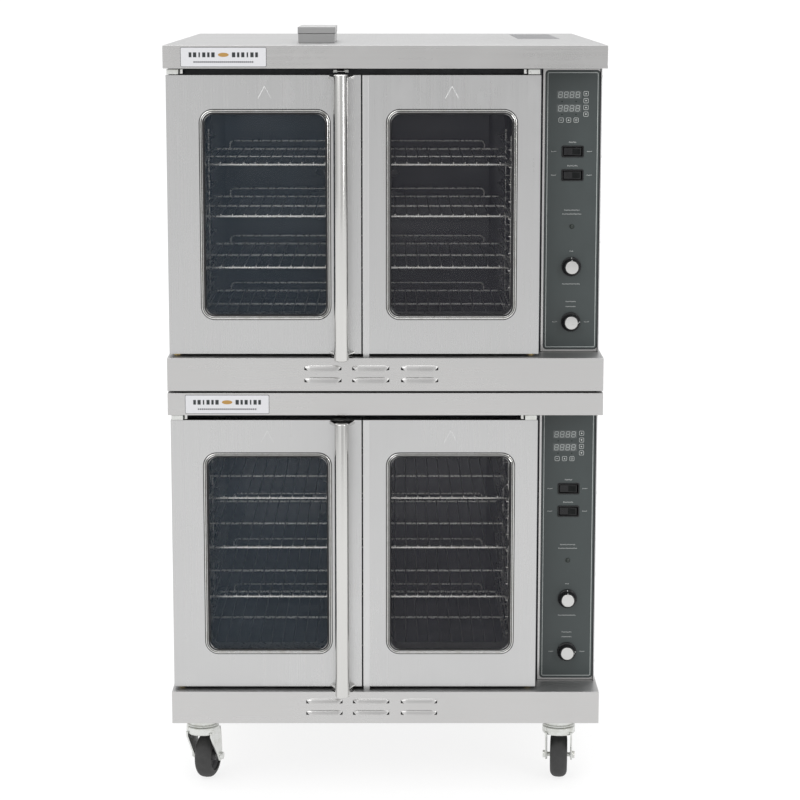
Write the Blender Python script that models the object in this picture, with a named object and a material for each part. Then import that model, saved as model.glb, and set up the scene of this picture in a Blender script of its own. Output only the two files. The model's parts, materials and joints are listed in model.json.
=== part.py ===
"""Double-stack convection oven on swivel casters, modelled piece by piece.

Metres, +Z up. The oven faces -Y. The origin is on the floor, under the middle of the oven's box.
Inside a deck, x is measured from the oven's middle, y back from the fascias' front plane, and z up
from the underside of that deck's base.
"""

import math

import bpy
from mathutils import Matrix, Vector

# Driving dimensions of the whole oven
WIDTH = 0.972
DEPTH = 1.100  # front of the fascias to the back of the base
HANDLE_REACH = 0.051  # how far the door handle stands in front of the fascias
DECK_HEIGHT = 0.7637
DECK_GAP = 0.0045
CASTER_HEIGHT = 0.162
SHEET = 0.0025  # folded stainless sheet
GAP = 0.0003  # between pieces that touch
FRONT = (HANDLE_REACH - DEPTH) / 2  # world y of the fascias' front plane

# Casing of a deck
COVER_Z = 0.7133  # lower edge of the top cover's fascia
COVER_LIP = 0.015
BASE_HEIGHT = 0.0743
SKIN_INSET = 0.004  # casing panels stand this far inside the cover and the base
FRAME_Y = 0.095  # face frame around the cavity
FRAME_LOW = 0.0748
FRAME_HIGH = 0.7105
SUPPLY_HOLE = (0.36, 0.17, 0.017)  # x, z and radius of the supply entry in the back

# Louvres in the base's fascia
LOUVRE_X = (-0.139, -0.0325, 0.0765)
LOUVRE_Z = (0.024, 0.051)
LOUVRE_SIZE = (0.082, 0.007)

# Cavity
CAVITY_X = (-0.440, 0.300)
CAVITY_Z = (0.118, 0.640)
CAVITY_BACK = 0.820
BAFFLE_Y = 0.700
CAVITY_MID_X = sum(CAVITY_X) / 2
CAVITY_MID_Z = sum(CAVITY_Z) / 2

# Racks and the guides they slide on
RACK_Z = (0.142, 0.259, 0.376, 0.493)
RACK_Y = (0.150, 0.670)
RACK_THICK = 0.006
RACK_SIDE_GAP = 0.012  # from the cavity wall to the rack's edge
RAIL_PITCH = 0.039
RAIL_COUNT = 11
RAIL_REACH = 0.022  # from the cavity wall to a rail's inner edge

# Doors
DOOR_FRONT = 0.0235
PIVOT_Y = 0.0535
DOOR_BACK = 0.0855
DOOR_Z = (0.0804, 0.6985)
LEFT_DOOR_X = (-0.482, -0.0535)
RIGHT_DOOR_X = (-0.0505, 0.342)
PIVOT_INSET = 0.017
LINER_INSET = 0.006  # the door's inner half is this much smaller all round
DOOR_WALL = 0.003
WINDOW_WEB = 0.006  # the door's solid rim around its window opening
PIN_RADIUS = 0.005
PIN_CLEARANCE = 0.0005
BRACKET_Z = (0.7000, 0.7075)
WINDOW_Z = (0.1676, 0.6135)
WINDOW_MARGIN = 0.010  # hidden under the window trim
LEFT_WINDOW_X = (-0.4095, -0.1210)
RIGHT_WINDOW_X = (0.0022, 0.2910)
WINDOW_RADIUS = 0.022
PANE_Y = (0.0275, 0.0355)

# Door handle
HANDLE_X = -0.097
HANDLE_Y = -0.035
HANDLE_RADIUS = 0.016
HANDLE_Z = (0.0724, 0.7020)
BRACKET_DROP = 0.0088  # from the handle's end to the middle of its bracket

# Control panel
PANEL_X = (0.3505, 0.4785)
PANEL_Y = (0.100, 0.130)
CONTROL_X = 0.4185
FAN_SWITCH_Z = 0.5259
LIGHT_SWITCH_Z = 0.4732
THERMOSTAT_Z = 0.2676
POWER_Z = 0.1422
SWITCH_HOLE = (0.044, 0.020)
SWITCH_TILT = math.radians(7)
SHAFT_RADIUS = 0.003

# Fan
FAN_RADIUS = 0.165
FAN_Y = (0.725, 0.795)
FAN_BLADES = 8
MOTOR_SHAFT_RADIUS = 0.008

# Flue vent on the roof
VENT_SIZE = (0.082, 0.240, 0.036)
VENT_X = -0.155
VENT_Y = 0.180

# Casters
CASTER_X = {"left": -0.4225, "right": 0.401}
CASTER_Y = {"front": 0.080, "rear": 0.975}
WHEEL_RADIUS = 0.0525
WHEEL_HALF_WIDTH = 0.020
WHEEL_SIDES = 24
CASTER_TRAIL = 0.035
AXLE_RADIUS = 0.005
FORK_LEG = (0.0270, 0.0310)  # inner and outer side of a fork leg, from the wheel's middle
CROWN_RADIUS = 0.038
CASTER_TURN = {"front_left": -15, "front_right": -5, "rear_left": 8, "rear_right": -12}

# name: colour, roughness, metallic
FINISHES = {
    "brushed_stainless": ((0.60, 0.60, 0.60), 0.35, 1.0),
    "bright_stainless": ((0.72, 0.72, 0.72), 0.18, 1.0),
    "enamel": ((0.05, 0.055, 0.065), 0.45, 0.0),
    "wire_chrome": ((0.75, 0.75, 0.74), 0.15, 1.0),
    "glass_dark": ((0.03, 0.04, 0.06), 0.05, 0.0),
    "panel_slate": ((0.08, 0.10, 0.10), 0.50, 0.0),
    "black_plastic": ((0.02, 0.02, 0.02), 0.40, 0.0),
    "aluminised_steel": ((0.55, 0.56, 0.56), 0.45, 1.0),
    "motor_paint": ((0.06, 0.06, 0.07), 0.55, 0.2),
    "zinc_plate": ((0.62, 0.64, 0.62), 0.30, 1.0),
    "wheel_rubber": ((0.07, 0.07, 0.07), 0.75, 0.0),
    "spacer_black": ((0.02, 0.02, 0.02), 0.80, 0.0),
}


# ---- shapes, all in world coordinates until node() sets their origin ----


def clear_scene():
    for thing in list(bpy.data.objects):
        bpy.data.objects.remove(thing)


def mesh_object(points, faces):
    mesh = bpy.data.meshes.new("shape")
    mesh.from_pydata([tuple(p) for p in points], [], faces)
    mesh.validate()
    shape = bpy.data.objects.new("shape", mesh)
    bpy.context.collection.objects.link(shape)
    return shape


def loft(rings, closed=False):
    """A solid through rings of equally many points, capped, or closed on itself as a ring."""
    count = len(rings[0])
    points = [p for ring in rings for p in ring]
    faces = []
    last = len(rings) if closed else len(rings) - 1
    for row in range(last):
        below = row * count
        above = ((row + 1) % len(rings)) * count
        for i in range(count):
            j = (i + 1) % count
            faces.append((below + i, below + j, above + j, above + i))
    if not closed:
        faces.append(tuple(reversed(range(count))))
        faces.append(tuple(range(below + count, below + 2 * count)))
    return mesh_object(points, faces)


def box(x, y, z):
    corners = [(x[0], y[0]), (x[1], y[0]), (x[1], y[1]), (x[0], y[1])]
    return loft([[(cx, cy, level) for cx, cy in corners] for level in z])


def prism(outline, z):
    """A solid over an (x, y) outline that runs counter-clockwise."""
    return loft([[(px, py, level) for px, py in outline] for level in z])


def rounded_rectangle(x, z, radius, steps=5):
    """Counter-clockwise (x, z) outline, as seen with x to the right and z up."""
    points = []
    corners = ((x[1], z[1], 0), (x[0], z[1], 90), (x[0], z[0], 180), (x[1], z[0], 270))
    for cx, cz, start in corners:
        mid_x = cx - math.copysign(radius, cx - sum(x) / 2)
        mid_z = cz - math.copysign(radius, cz - sum(z) / 2)
        for i in range(steps + 1):
            angle = math.radians(start + 90 * i / steps)
            points.append((mid_x + radius * math.cos(angle), mid_z + radius * math.sin(angle)))
    return points


def plate_in_y(outline, y):
    """A solid over an (x, z) outline, from y[0] back to y[1]."""
    return loft([[(px, level, pz) for px, pz in outline] for level in reversed(y)])


def turned(profile, centre, axis, sides, closed=False):
    """Turns (radius, offset along the axis) about an axis through centre. Offsets rise."""
    turn = Vector((0, 0, 1)).rotation_difference(Vector(axis)).to_matrix()
    half_step = math.pi / sides
    rings = []
    for radius, offset in profile:
        ring = []
        for i in range(sides):
            angle = half_step + 2 * math.pi * i / sides
            spoke = Vector((radius * math.cos(angle), radius * math.sin(angle), offset))
            ring.append(Vector(centre) + turn @ spoke)
        rings.append(ring)
    return loft(rings, closed)


def combine(shape, others, operation):
    for other in others:
        step = shape.modifiers.new(operation.lower(), "BOOLEAN")
        step.operation = operation
        step.solver = "EXACT"
        step.object = other
    evaluated = shape.evaluated_get(bpy.context.evaluated_depsgraph_get())
    mesh = bpy.data.meshes.new_from_object(evaluated)
    shape.modifiers.clear()
    shape.data = mesh
    for other in others:
        bpy.data.objects.remove(other)
    return shape


def cut(shape, cutters):
    return combine(shape, cutters, "DIFFERENCE")


def join(shape, others):
    return combine(shape, others, "UNION")


def finish_material(name):
    if name in bpy.data.materials:
        return bpy.data.materials[name]
    colour, roughness, metallic = FINISHES[name]
    made = bpy.data.materials.new(name)
    made.use_nodes = True
    shader = made.node_tree.nodes["Principled BSDF"]
    shader.inputs["Base Color"].default_value = (*colour, 1)
    shader.inputs["Roughness"].default_value = roughness
    shader.inputs["Metallic"].default_value = metallic
    return made


def node(name, shape, finish, pivot=(0, 0, 0), smooth=False):
    """Names a finished piece, gives it its material and puts its origin at its pivot."""
    shape.name = name
    shape.data.name = name
    shape.data.materials.clear()
    shape.data.materials.append(finish_material(finish))
    shape.data.transform(Matrix.Translation(-Vector(pivot)))
    shape.location = pivot
    if smooth:
        shape.data.shade_smooth()
        shape.data.set_sharp_from_angle(angle=math.radians(35))
    return shape


def span(middle, size):
    return (middle - size / 2, middle + size / 2)


# ---- one deck ----


class Deck:
    """Places a deck's pieces: x from the oven's middle, y from the fascias, z from the base."""

    def __init__(self, name, bottom):
        self.name = name
        self.bottom = bottom

    def piece(self, name):
        return f"{self.name}_{name}"

    def at(self, x, y, z):
        return (x, FRONT + y, self.bottom + z)

    def y(self, pair):
        return tuple(FRONT + value for value in pair)

    def z(self, pair):
        return tuple(self.bottom + value for value in pair)

    def box(self, x, y, z):
        return box(x, self.y(y), self.z(z))

    def pin(self, x, y, z, radius, sides=12):
        """An upright round bar."""
        return turned([(radius, z[0]), (radius, z[1])], self.at(x, y, 0), (0, 0, 1), sides)

    def rod(self, x, z, y, radius, sides=12):
        """A round bar that runs from front to back."""
        return turned([(radius, y[0]), (radius, y[1])], self.at(x, 0, z), (0, 1, 0), sides)


def top_cover(deck):
    half = WIDTH / 2
    inner = half - SHEET
    shell = deck.box((-half, half), (0, DEPTH), (COVER_Z, DECK_HEIGHT))
    hollow = deck.box(
        (-inner, inner), (SHEET, DEPTH - SHEET), (COVER_Z + SHEET, DECK_HEIGHT - SHEET)
    )
    mouth = deck.box((-inner, inner), (COVER_LIP, DEPTH - SHEET), (COVER_Z - 0.01, COVER_Z + 0.01))
    cut(shell, [hollow, mouth])
    return node(deck.piece("top_cover"), shell, "brushed_stainless")


def body_shell(deck):
    out = WIDTH / 2 - SKIN_INSET
    inner = out - SHEET
    front, back = deck.y((FRAME_Y, DEPTH - SKIN_INSET))
    lining = back - SHEET
    outline = [
        (-out, front),
        (-inner, front),
        (-inner, lining),
        (inner, lining),
        (inner, front),
        (out, front),
        (out, back),
        (-out, back),
    ]
    shell = prism(outline, deck.z((BASE_HEIGHT + GAP, DECK_HEIGHT - SHEET - GAP)))
    hole_x, hole_z, hole_radius = SUPPLY_HOLE
    entry = deck.rod(hole_x, hole_z, (DEPTH - 0.03, DEPTH + 0.01), hole_radius, 20)
    cut(shell, [entry])
    return node(deck.piece("body_shell"), shell, "brushed_stainless")


def base_pan(deck):
    half = WIDTH / 2
    inner = half - SHEET
    shell = deck.box((-half, half), (0, DEPTH), (0, BASE_HEIGHT))
    cutters = [
        deck.box((-inner, inner), (SHEET, DEPTH - SHEET), (SHEET, BASE_HEIGHT - SHEET))
    ]
    for middle_x in LOUVRE_X:
        for middle_z in LOUVRE_Z:
            slot = deck.box(
                span(middle_x, LOUVRE_SIZE[0]), (-0.01, 0.01), span(middle_z, LOUVRE_SIZE[1])
            )
            cutters.append(slot)
    for pivot_x in (LEFT_DOOR_X[0] + PIVOT_INSET, RIGHT_DOOR_X[1] - PIVOT_INSET):
        hole = (BASE_HEIGHT - 0.01, BASE_HEIGHT + 0.01)
        cutters.append(deck.pin(pivot_x, PIVOT_Y, hole, PIN_RADIUS + PIN_CLEARANCE))
    cut(shell, cutters)
    return node(deck.piece("base_pan"), shell, "brushed_stainless")


def cavity_liner(deck):
    """The oven chamber with its face frame and the two upper hinge brackets."""
    frame_x = (-WIDTH / 2 + SKIN_INSET + SHEET + GAP * 3, PANEL_X[0] - SHEET)
    frame = deck.box(frame_x, (FRAME_Y, FRAME_Y + SHEET), (FRAME_LOW, FRAME_HIGH))
    wall_x = (CAVITY_X[0] - SHEET, CAVITY_X[1] + SHEET)
    wall_z = (CAVITY_Z[0] - SHEET, CAVITY_Z[1] + SHEET)
    chamber = deck.box(wall_x, (FRAME_Y + SHEET / 2, CAVITY_BACK), wall_z)
    brackets = []
    holes = []
    for pivot_x, reach in ((LEFT_DOOR_X[0] + PIVOT_INSET, 1), (RIGHT_DOOR_X[1] - PIVOT_INSET, -1)):
        bracket_x = sorted((pivot_x - 0.012 * reach, pivot_x + 0.018 * reach))
        bracket_y = (PIVOT_Y - 0.013, FRAME_Y + SHEET / 2)
        brackets.append(deck.box(bracket_x, bracket_y, BRACKET_Z))
        hole = (BRACKET_Z[0] - 0.01, BRACKET_Z[1] + 0.01)
        holes.append(deck.pin(pivot_x, PIVOT_Y, hole, PIN_RADIUS + PIN_CLEARANCE))
    join(frame, [chamber, *brackets])
    hollow = deck.box(CAVITY_X, (FRAME_Y - 0.01, CAVITY_BACK - SHEET), CAVITY_Z)
    shaft_y = (CAVITY_BACK - 0.02, CAVITY_BACK + 0.02)
    shaft_hole = deck.rod(CAVITY_MID_X, CAVITY_MID_Z, shaft_y, MOTOR_SHAFT_RADIUS + 0.006)
    cut(frame, [hollow, shaft_hole, *holes])
    return node(deck.piece("cavity_liner"), frame, "enamel")


def rack_guide(deck, side):
    """A ladder of rails on one side wall of the cavity: comb-shaped rails on three uprights."""
    wall = CAVITY_X[0] + GAP if side == "left" else CAVITY_X[1] - GAP
    inward = 1 if side == "left" else -1
    spine = wall + inward * 0.004
    tip = wall + inward * RAIL_REACH
    low = RACK_Z[0] - RACK_THICK / 2 - GAP
    y = (RACK_Y[0] - 0.02, BAFFLE_Y - 0.012)
    outline = [(wall, low - 0.012)]
    outline.append((spine, low - 0.012))
    for i in range(RAIL_COUNT):
        top = low + RAIL_PITCH * i
        outline += [(spine, top - 0.004), (tip, top - 0.004), (tip, top), (spine, top)]
    end = low + RAIL_PITCH * (RAIL_COUNT - 1) + 0.012
    outline += [(spine, end), (wall, end)]
    if side == "right":
        outline.reverse()
    outline = [(px, deck.bottom + pz) for px, pz in outline]
    comb = plate_in_y(outline, deck.y(y))
    through = sorted((wall - inward * 0.01, spine))
    windows = []
    bay = (y[1] - y[0] - 3 * 0.012) / 2
    for i in range(2):
        start = y[0] + 0.012 + i * (bay + 0.012)
        windows.append(deck.box(through, (start, start + bay), (low - 0.002, end - 0.006)))
    cut(comb, windows)
    return node(deck.piece(f"rack_guide_{side}"), comb, "wire_chrome")


def rack(deck, number):
    """A wire shelf, kept as a flat plate with long openings between its bars."""
    x = (CAVITY_X[0] + RACK_SIDE_GAP, CAVITY_X[1] - RACK_SIDE_GAP)
    level = RACK_Z[number - 1]
    thickness = (level - RACK_THICK / 2, level + RACK_THICK / 2)
    shelf = deck.box(x, RACK_Y, thickness)
    bars = 7
    bar = 0.008
    pitch = (x[1] - x[0] - bar) / bars
    depth = (RACK_Y[0] + bar, RACK_Y[1] - bar)
    slots = []
    for i in range(bars):
        start = x[0] + bar + pitch * i
        slots.append(deck.box((start, start + pitch - bar), depth, span(level, 0.02)))
    cut(shelf, slots)
    pivot = deck.at(CAVITY_MID_X, sum(RACK_Y) / 2, level)
    return node(deck.piece(f"rack_{number}"), shelf, "wire_chrome", pivot)


def fan_baffle(deck):
    """The sheet in front of the fan, with a ring of slots that the air is drawn through."""
    x = (CAVITY_X[0] + 0.045, CAVITY_X[1] - 0.045)
    z = (CAVITY_Z[0] + GAP, CAVITY_Z[1] - GAP)
    sheet = deck.box(x, (BAFFLE_Y, BAFFLE_Y + SHEET), z)
    slots = []
    count = 12
    for i in range(count):
        slot = box((0.035, 0.115), (-0.01, 0.01), (-0.007, 0.007))
        turn = Matrix.Rotation(2 * math.pi * i / count, 4, "Y")
        place = Matrix.Translation(deck.at(CAVITY_MID_X, BAFFLE_Y, CAVITY_MID_Z))
        slot.data.transform(place @ turn)
        slots.append(slot)
    cut(sheet, slots)
    return node(deck.piece("fan_baffle"), sheet, "enamel")


def fan_wheel(deck):
    """Radial blower wheel: a hub and a back disc, blades, and a ring around their front edges."""
    centre = deck.at(CAVITY_MID_X, 0, CAVITY_MID_Z)
    bore = MOTOR_SHAFT_RADIUS + PIN_CLEARANCE
    front, back = FAN_Y
    disc = [
        (bore, front + 0.030),
        (0.024, front + 0.030),
        (0.024, back - 0.003),
        (FAN_RADIUS, back - 0.003),
        (FAN_RADIUS, back),
        (bore, back),
    ]
    wheel = turned(disc, centre, (0, 1, 0), 24, closed=True)
    ring = [
        (FAN_RADIUS - 0.030, front),
        (FAN_RADIUS, front),
        (FAN_RADIUS, front + 0.003),
        (FAN_RADIUS - 0.030, front + 0.003),
    ]
    others = [turned(ring, centre, (0, 1, 0), 24, closed=True)]
    for i in range(FAN_BLADES):
        blade = box((0.100, FAN_RADIUS - 0.004), (front + 0.001, back - 0.001), (-0.0012, 0.0012))
        turn = Matrix.Rotation(2 * math.pi * i / FAN_BLADES, 4, "Y")
        blade.data.transform(Matrix.Translation(centre) @ turn)
        others.append(blade)
    join(wheel, others)
    pivot = deck.at(CAVITY_MID_X, sum(FAN_Y) / 2, CAVITY_MID_Z)
    return node(deck.piece("fan_wheel"), wheel, "aluminised_steel", pivot)


def fan_motor(deck):
    centre = deck.at(CAVITY_MID_X, 0, CAVITY_MID_Z)
    seat = CAVITY_BACK + GAP
    profile = [
        (MOTOR_SHAFT_RADIUS, FAN_Y[0] + 0.020),
        (MOTOR_SHAFT_RADIUS, seat),
        (0.105, seat),
        (0.105, seat + 0.006),
        (0.080, seat + 0.006),
        (0.080, seat + 0.170),
        (0.066, seat + 0.190),
        (0.066, seat + 0.200),
    ]
    motor = turned(profile, centre, (0, 1, 0), 16)
    return node(deck.piece("fan_motor"), motor, "motor_paint", smooth=True)


def door(deck, side):
    x = LEFT_DOOR_X if side == "left" else RIGHT_DOOR_X
    window_x = LEFT_WINDOW_X if side == "left" else RIGHT_WINDOW_X
    pivot_x = x[0] + PIVOT_INSET if side == "left" else x[1] - PIVOT_INSET
    inner_x = (x[0] + LINER_INSET, x[1] - LINER_INSET)
    inner_z = (DOOR_Z[0] + LINER_INSET, DOOR_Z[1] - LINER_INSET)

    def ring(across, depth, height):
        corners = [(0, 0), (0, 1), (1, 1), (1, 0)]
        return [deck.at(across[i], depth, height[j]) for i, j in corners]

    leaf = loft(
        [
            ring(x, DOOR_FRONT, DOOR_Z),
            ring(x, PIVOT_Y, DOOR_Z),
            ring(inner_x, PIVOT_Y, inner_z),
            ring(inner_x, DOOR_BACK, inner_z),
        ]
    )
    pins = [
        deck.pin(pivot_x, PIVOT_Y - 0.001, (DOOR_Z[1] - 0.005, BRACKET_Z[1] + 0.001), PIN_RADIUS),
        deck.pin(pivot_x, PIVOT_Y - 0.001, (BASE_HEIGHT - 0.002, DOOR_Z[0] + 0.005), PIN_RADIUS),
    ]
    for pin in pins:
        pin.data.transform(Matrix.Translation((0, 0.001, 0)))
    join(leaf, pins)
    hole_x = (window_x[0] + WINDOW_MARGIN, window_x[1] - WINDOW_MARGIN)
    hole = rounded_rectangle(hole_x, deck.z(WINDOW_Z), WINDOW_RADIUS)
    cutters = [plate_in_y(hole, deck.y((DOOR_FRONT - 0.01, DOOR_BACK + 0.01)))]
    wall = DOOR_WALL
    hollow = deck.box(
        (inner_x[0] + wall, inner_x[1] - wall),
        (DOOR_FRONT + wall, DOOR_BACK - wall),
        (inner_z[0] + wall, inner_z[1] - wall),
    )
    web = deck.box(
        (hole_x[0] - WINDOW_WEB, hole_x[1] + WINDOW_WEB),
        (DOOR_FRONT, DOOR_BACK),
        (WINDOW_Z[0] - WINDOW_WEB, WINDOW_Z[1] + WINDOW_WEB),
    )
    cutters.append(cut(hollow, [web]))
    middle = sum(hole_x) / 2
    for end in DOOR_Z:
        vent = deck.box(span(middle, 0.060), span(PIVOT_Y + 0.012, 0.006), span(end, 0.040))
        cutters.append(vent)
    cut(leaf, cutters)
    pivot = deck.at(pivot_x, PIVOT_Y, 0)
    return node(deck.piece(f"{side}_door"), leaf, "brushed_stainless", pivot)


def window_pane(deck, side):
    x = LEFT_WINDOW_X if side == "left" else RIGHT_WINDOW_X
    inset = WINDOW_MARGIN + GAP
    low, high = WINDOW_Z
    outline = rounded_rectangle(
        (x[0] + inset, x[1] - inset),
        deck.z((low + GAP, high - GAP)),
        WINDOW_RADIUS - GAP,
    )
    pane = plate_in_y(outline, deck.y(PANE_Y))
    return node(deck.piece(f"{side}_window"), pane, "glass_dark")


def door_handle(deck):
    """An upright tube held off the door by a flared bracket at each end."""
    centre = deck.at(HANDLE_X, HANDLE_Y, 0)
    low, high = HANDLE_Z
    chamfer = 0.002
    profile = [
        (HANDLE_RADIUS - chamfer, low),
        (HANDLE_RADIUS, low + chamfer),
        (HANDLE_RADIUS, high - chamfer),
        (HANDLE_RADIUS - chamfer, high),
    ]
    tube = turned(profile, centre, (0, 0, 1), 20)
    brackets = []
    for middle in (low + BRACKET_DROP, high - BRACKET_DROP):
        rings = []
        for depth, half in ((HANDLE_Y, 0.014), (DOOR_FRONT - 0.008, 0.017), (DOOR_FRONT - GAP, 0.0285)):
            corners = [(-half, -0.005), (-half, 0.005), (half, 0.005), (half, -0.005)]
            rings.append([deck.at(HANDLE_X + dx, depth, middle + dz) for dx, dz in corners])
        brackets.append(loft(rings))
    join(tube, brackets)
    return node(deck.piece("door_handle"), tube, "bright_stainless", smooth=True)


def control_panel(deck):
    shell = deck.box(PANEL_X, PANEL_Y, (FRAME_LOW, FRAME_HIGH))
    inner_x = (PANEL_X[0] + SHEET, PANEL_X[1] - SHEET)
    inner_z = (FRAME_LOW + SHEET, FRAME_HIGH - SHEET)
    cutters = [deck.box(inner_x, (PANEL_Y[0] + SHEET, PANEL_Y[1] + 0.01), inner_z)]
    hole_y = (PANEL_Y[0] - 0.01, PANEL_Y[0] + 0.01)
    for middle in (FAN_SWITCH_Z, LIGHT_SWITCH_Z):
        across = span(CONTROL_X, SWITCH_HOLE[0])
        cutters.append(deck.box(across, hole_y, span(middle, SWITCH_HOLE[1])))
    for middle in (THERMOSTAT_Z, POWER_Z):
        cutters.append(deck.rod(CONTROL_X, middle, hole_y, SHAFT_RADIUS + PIN_CLEARANCE))
    cut(shell, cutters)
    return node(deck.piece("control_panel"), shell, "panel_slate")


def rocker_switch(deck, name, middle):
    """A rocker that tips about an upright axis, resting with its left end pressed in."""
    half = 0.0195
    outline = [
        (-half, -0.0050),
        (-half / 2, -0.0042),
        (0, -0.0025),
        (half / 2, -0.0042),
        (half, -0.0050),
        (half * 0.85, 0.0110),
        (-half * 0.85, 0.0110),
    ]
    rocker = prism(outline, span(0, 0.017))
    rocker.data.transform(Matrix.Rotation(-SWITCH_TILT, 4, "Z"))
    pivot = deck.at(CONTROL_X, PANEL_Y[0] + 0.002, middle)
    rocker.data.transform(Matrix.Translation(pivot))
    return node(deck.piece(name), rocker, "black_plastic", pivot)


def knob(deck, name, middle):
    centre = deck.at(CONTROL_X, PANEL_Y[0], middle)
    profile = [
        (0.0135, -0.0240),
        (0.0150, -0.0225),
        (0.0150, -0.0080),
        (0.0200, -0.0070),
        (0.0215, -0.0050),
        (0.0215, -0.0010),
        (SHAFT_RADIUS, -0.0010),
        (SHAFT_RADIUS, 0.0180),
    ]
    grip = turned(profile, centre, (0, 1, 0), 16)
    return node(deck.piece(name), grip, "black_plastic", centre, smooth=True)


def build_deck(name, bottom):
    deck = Deck(name, bottom)
    top_cover(deck)
    body_shell(deck)
    base_pan(deck)
    cavity_liner(deck)
    control_panel(deck)
    for side in ("left", "right"):
        rack_guide(deck, side)
        door(deck, side)
        window_pane(deck, side)
    for number in range(1, len(RACK_Z) + 1):
        rack(deck, number)
    fan_baffle(deck)
    fan_wheel(deck)
    fan_motor(deck)
    door_handle(deck)
    rocker_switch(deck, "fan_switch", FAN_SWITCH_Z)
    rocker_switch(deck, "light_switch", LIGHT_SWITCH_Z)
    knob(deck, "thermostat_knob", THERMOSTAT_Z)
    knob(deck, "power_knob", POWER_Z)


# ---- pieces outside the decks ----


def stacking_spacer():
    """A thin black frame that carries the upper deck on the lower one."""
    inset = 0.014
    bar = 0.050
    x = (inset - WIDTH / 2, WIDTH / 2 - inset)
    y = (FRONT + inset, FRONT + DEPTH - inset)
    low = CASTER_HEIGHT + DECK_HEIGHT + GAP
    high = low + DECK_GAP - 2 * GAP
    frame = box(x, y, (low, high))
    hole = box((x[0] + bar, x[1] - bar), (y[0] + bar, y[1] - bar), (low - 0.01, high + 0.01))
    cut(frame, [hole])
    return node("stacking_spacer", frame, "spacer_black")


def flue_vent(roof):
    """A low hood on the roof, open to the back."""
    x = span(VENT_X, VENT_SIZE[0])
    y = (FRONT + VENT_Y, FRONT + VENT_Y + VENT_SIZE[1])
    z = (roof + GAP, roof + VENT_SIZE[2])
    hood = box(x, y, z)
    inner_x = (x[0] + SHEET, x[1] - SHEET)
    hollow = box(inner_x, (y[0] + SHEET, y[1] + 0.01), (z[0] + SHEET, z[1] - SHEET))
    cut(hood, [hollow])
    return node("flue_vent", hood, "brushed_stainless")


def caster_plate(name, centre):
    x, y = centre
    top = CASTER_HEIGHT - GAP
    plate = box(span(x, 0.100), span(y, 0.115), (top - 0.004, top))
    race = [(CROWN_RADIUS - 0.003, 0.1370), (CROWN_RADIUS - 0.003, top - 0.003)]
    join(plate, [turned(race, (x, y, 0), (0, 0, 1), 24)])
    bore = [(0.0065, 0.12), (0.0065, top + 0.01)]
    cut(plate, [turned(bore, (x, y, 0), (0, 0, 1), 12)])
    return node(name, plate, "zinc_plate", (x, y, top))


def fork_leg(inner, outer):
    """One cheek of a fork, drawn in the plane of the wheel and as thick as inner to outer."""
    arc = []
    for i in range(5):
        angle = math.radians(200 + 140 * i / 4)
        arc.append((CASTER_TRAIL + 0.013 * math.cos(angle), WHEEL_RADIUS + 0.013 * math.sin(angle)))
    outline = [(-0.030, 0.1240), (-0.028, 0.1130), *arc, (0.042, 0.1060), (0.036, 0.1240)]
    return loft([[(x, along, up) for along, up in outline] for x in (inner, outer)])


def caster_fork(name, centre, turn):
    """Crown, kingpin, two legs and the axle with its nuts, turned about the kingpin."""
    crown = [
        (CROWN_RADIUS - 0.002, 0.1180),
        (CROWN_RADIUS, 0.1210),
        (CROWN_RADIUS, 0.1340),
        (CROWN_RADIUS - 0.003, 0.1365),
        (0.0060, 0.1365),
        (0.0060, 0.1600),
    ]
    fork = turned(crown, (0, 0, 0), (0, 0, 1), 20)
    inner, outer = FORK_LEG
    axle = [
        (0.0085, -outer - 0.006),
        (0.0085, -outer + 0.001),
        (AXLE_RADIUS, -outer + 0.001),
        (AXLE_RADIUS, outer - 0.001),
        (0.0085, outer - 0.001),
        (0.0085, outer + 0.006),
    ]
    axle_centre = (0, CASTER_TRAIL, WHEEL_RADIUS)
    others = [
        fork_leg(inner, outer),
        fork_leg(-outer, -inner),
        turned(axle, axle_centre, (1, 0, 0), 12),
    ]
    join(fork, others)
    pivot = (*centre, CASTER_HEIGHT)
    place = Matrix.Translation((*centre, 0)) @ Matrix.Rotation(turn, 4, "Z")
    fork.data.transform(place)
    return node(name, fork, "zinc_plate", pivot)


def caster_wheel(name, centre, turn):
    """A round-shouldered tyre on its hub, with a bore that clears the axle."""
    bore = AXLE_RADIUS + PIN_CLEARANCE
    half = WHEEL_HALF_WIDTH
    flat = WHEEL_RADIUS / math.cos(math.pi / WHEEL_SIDES)  # so that the flats reach the radius
    profile = [
        (bore, -half),
        (flat * 0.74, -half),
        (flat * 0.92, -half * 0.90),
        (flat, -half * 0.45),
        (flat, half * 0.45),
        (flat * 0.92, half * 0.90),
        (flat * 0.74, half),
        (bore, half),
    ]
    wheel = turned(profile, (0, 0, 0), (1, 0, 0), WHEEL_SIDES, closed=True)
    wheel.data.transform(Matrix.Translation((0, CASTER_TRAIL, WHEEL_RADIUS)))
    place = Matrix.Translation((*centre, 0)) @ Matrix.Rotation(turn, 4, "Z")
    wheel.data.transform(place)
    pivot = place @ Vector((0, CASTER_TRAIL, WHEEL_RADIUS))
    return node(name, wheel, "wheel_rubber", pivot, smooth=True)


def caster(corner):
    end, side = corner.split("_")
    x = CASTER_X[side]
    y = FRONT + CASTER_Y[end]
    turn = math.radians(CASTER_TURN[corner])
    caster_plate(f"caster_plate_{corner}", (x, y))
    caster_fork(f"caster_fork_{corner}", (x, y), turn)
    caster_wheel(f"caster_wheel_{corner}", (x, y), turn)


def main():
    clear_scene()
    upper_bottom = CASTER_HEIGHT + DECK_HEIGHT + DECK_GAP
    build_deck("lower", CASTER_HEIGHT)
    build_deck("upper", upper_bottom)
    stacking_spacer()
    flue_vent(upper_bottom + DECK_HEIGHT)
    for corner in CASTER_TURN:
        caster(corner)


main()
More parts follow.
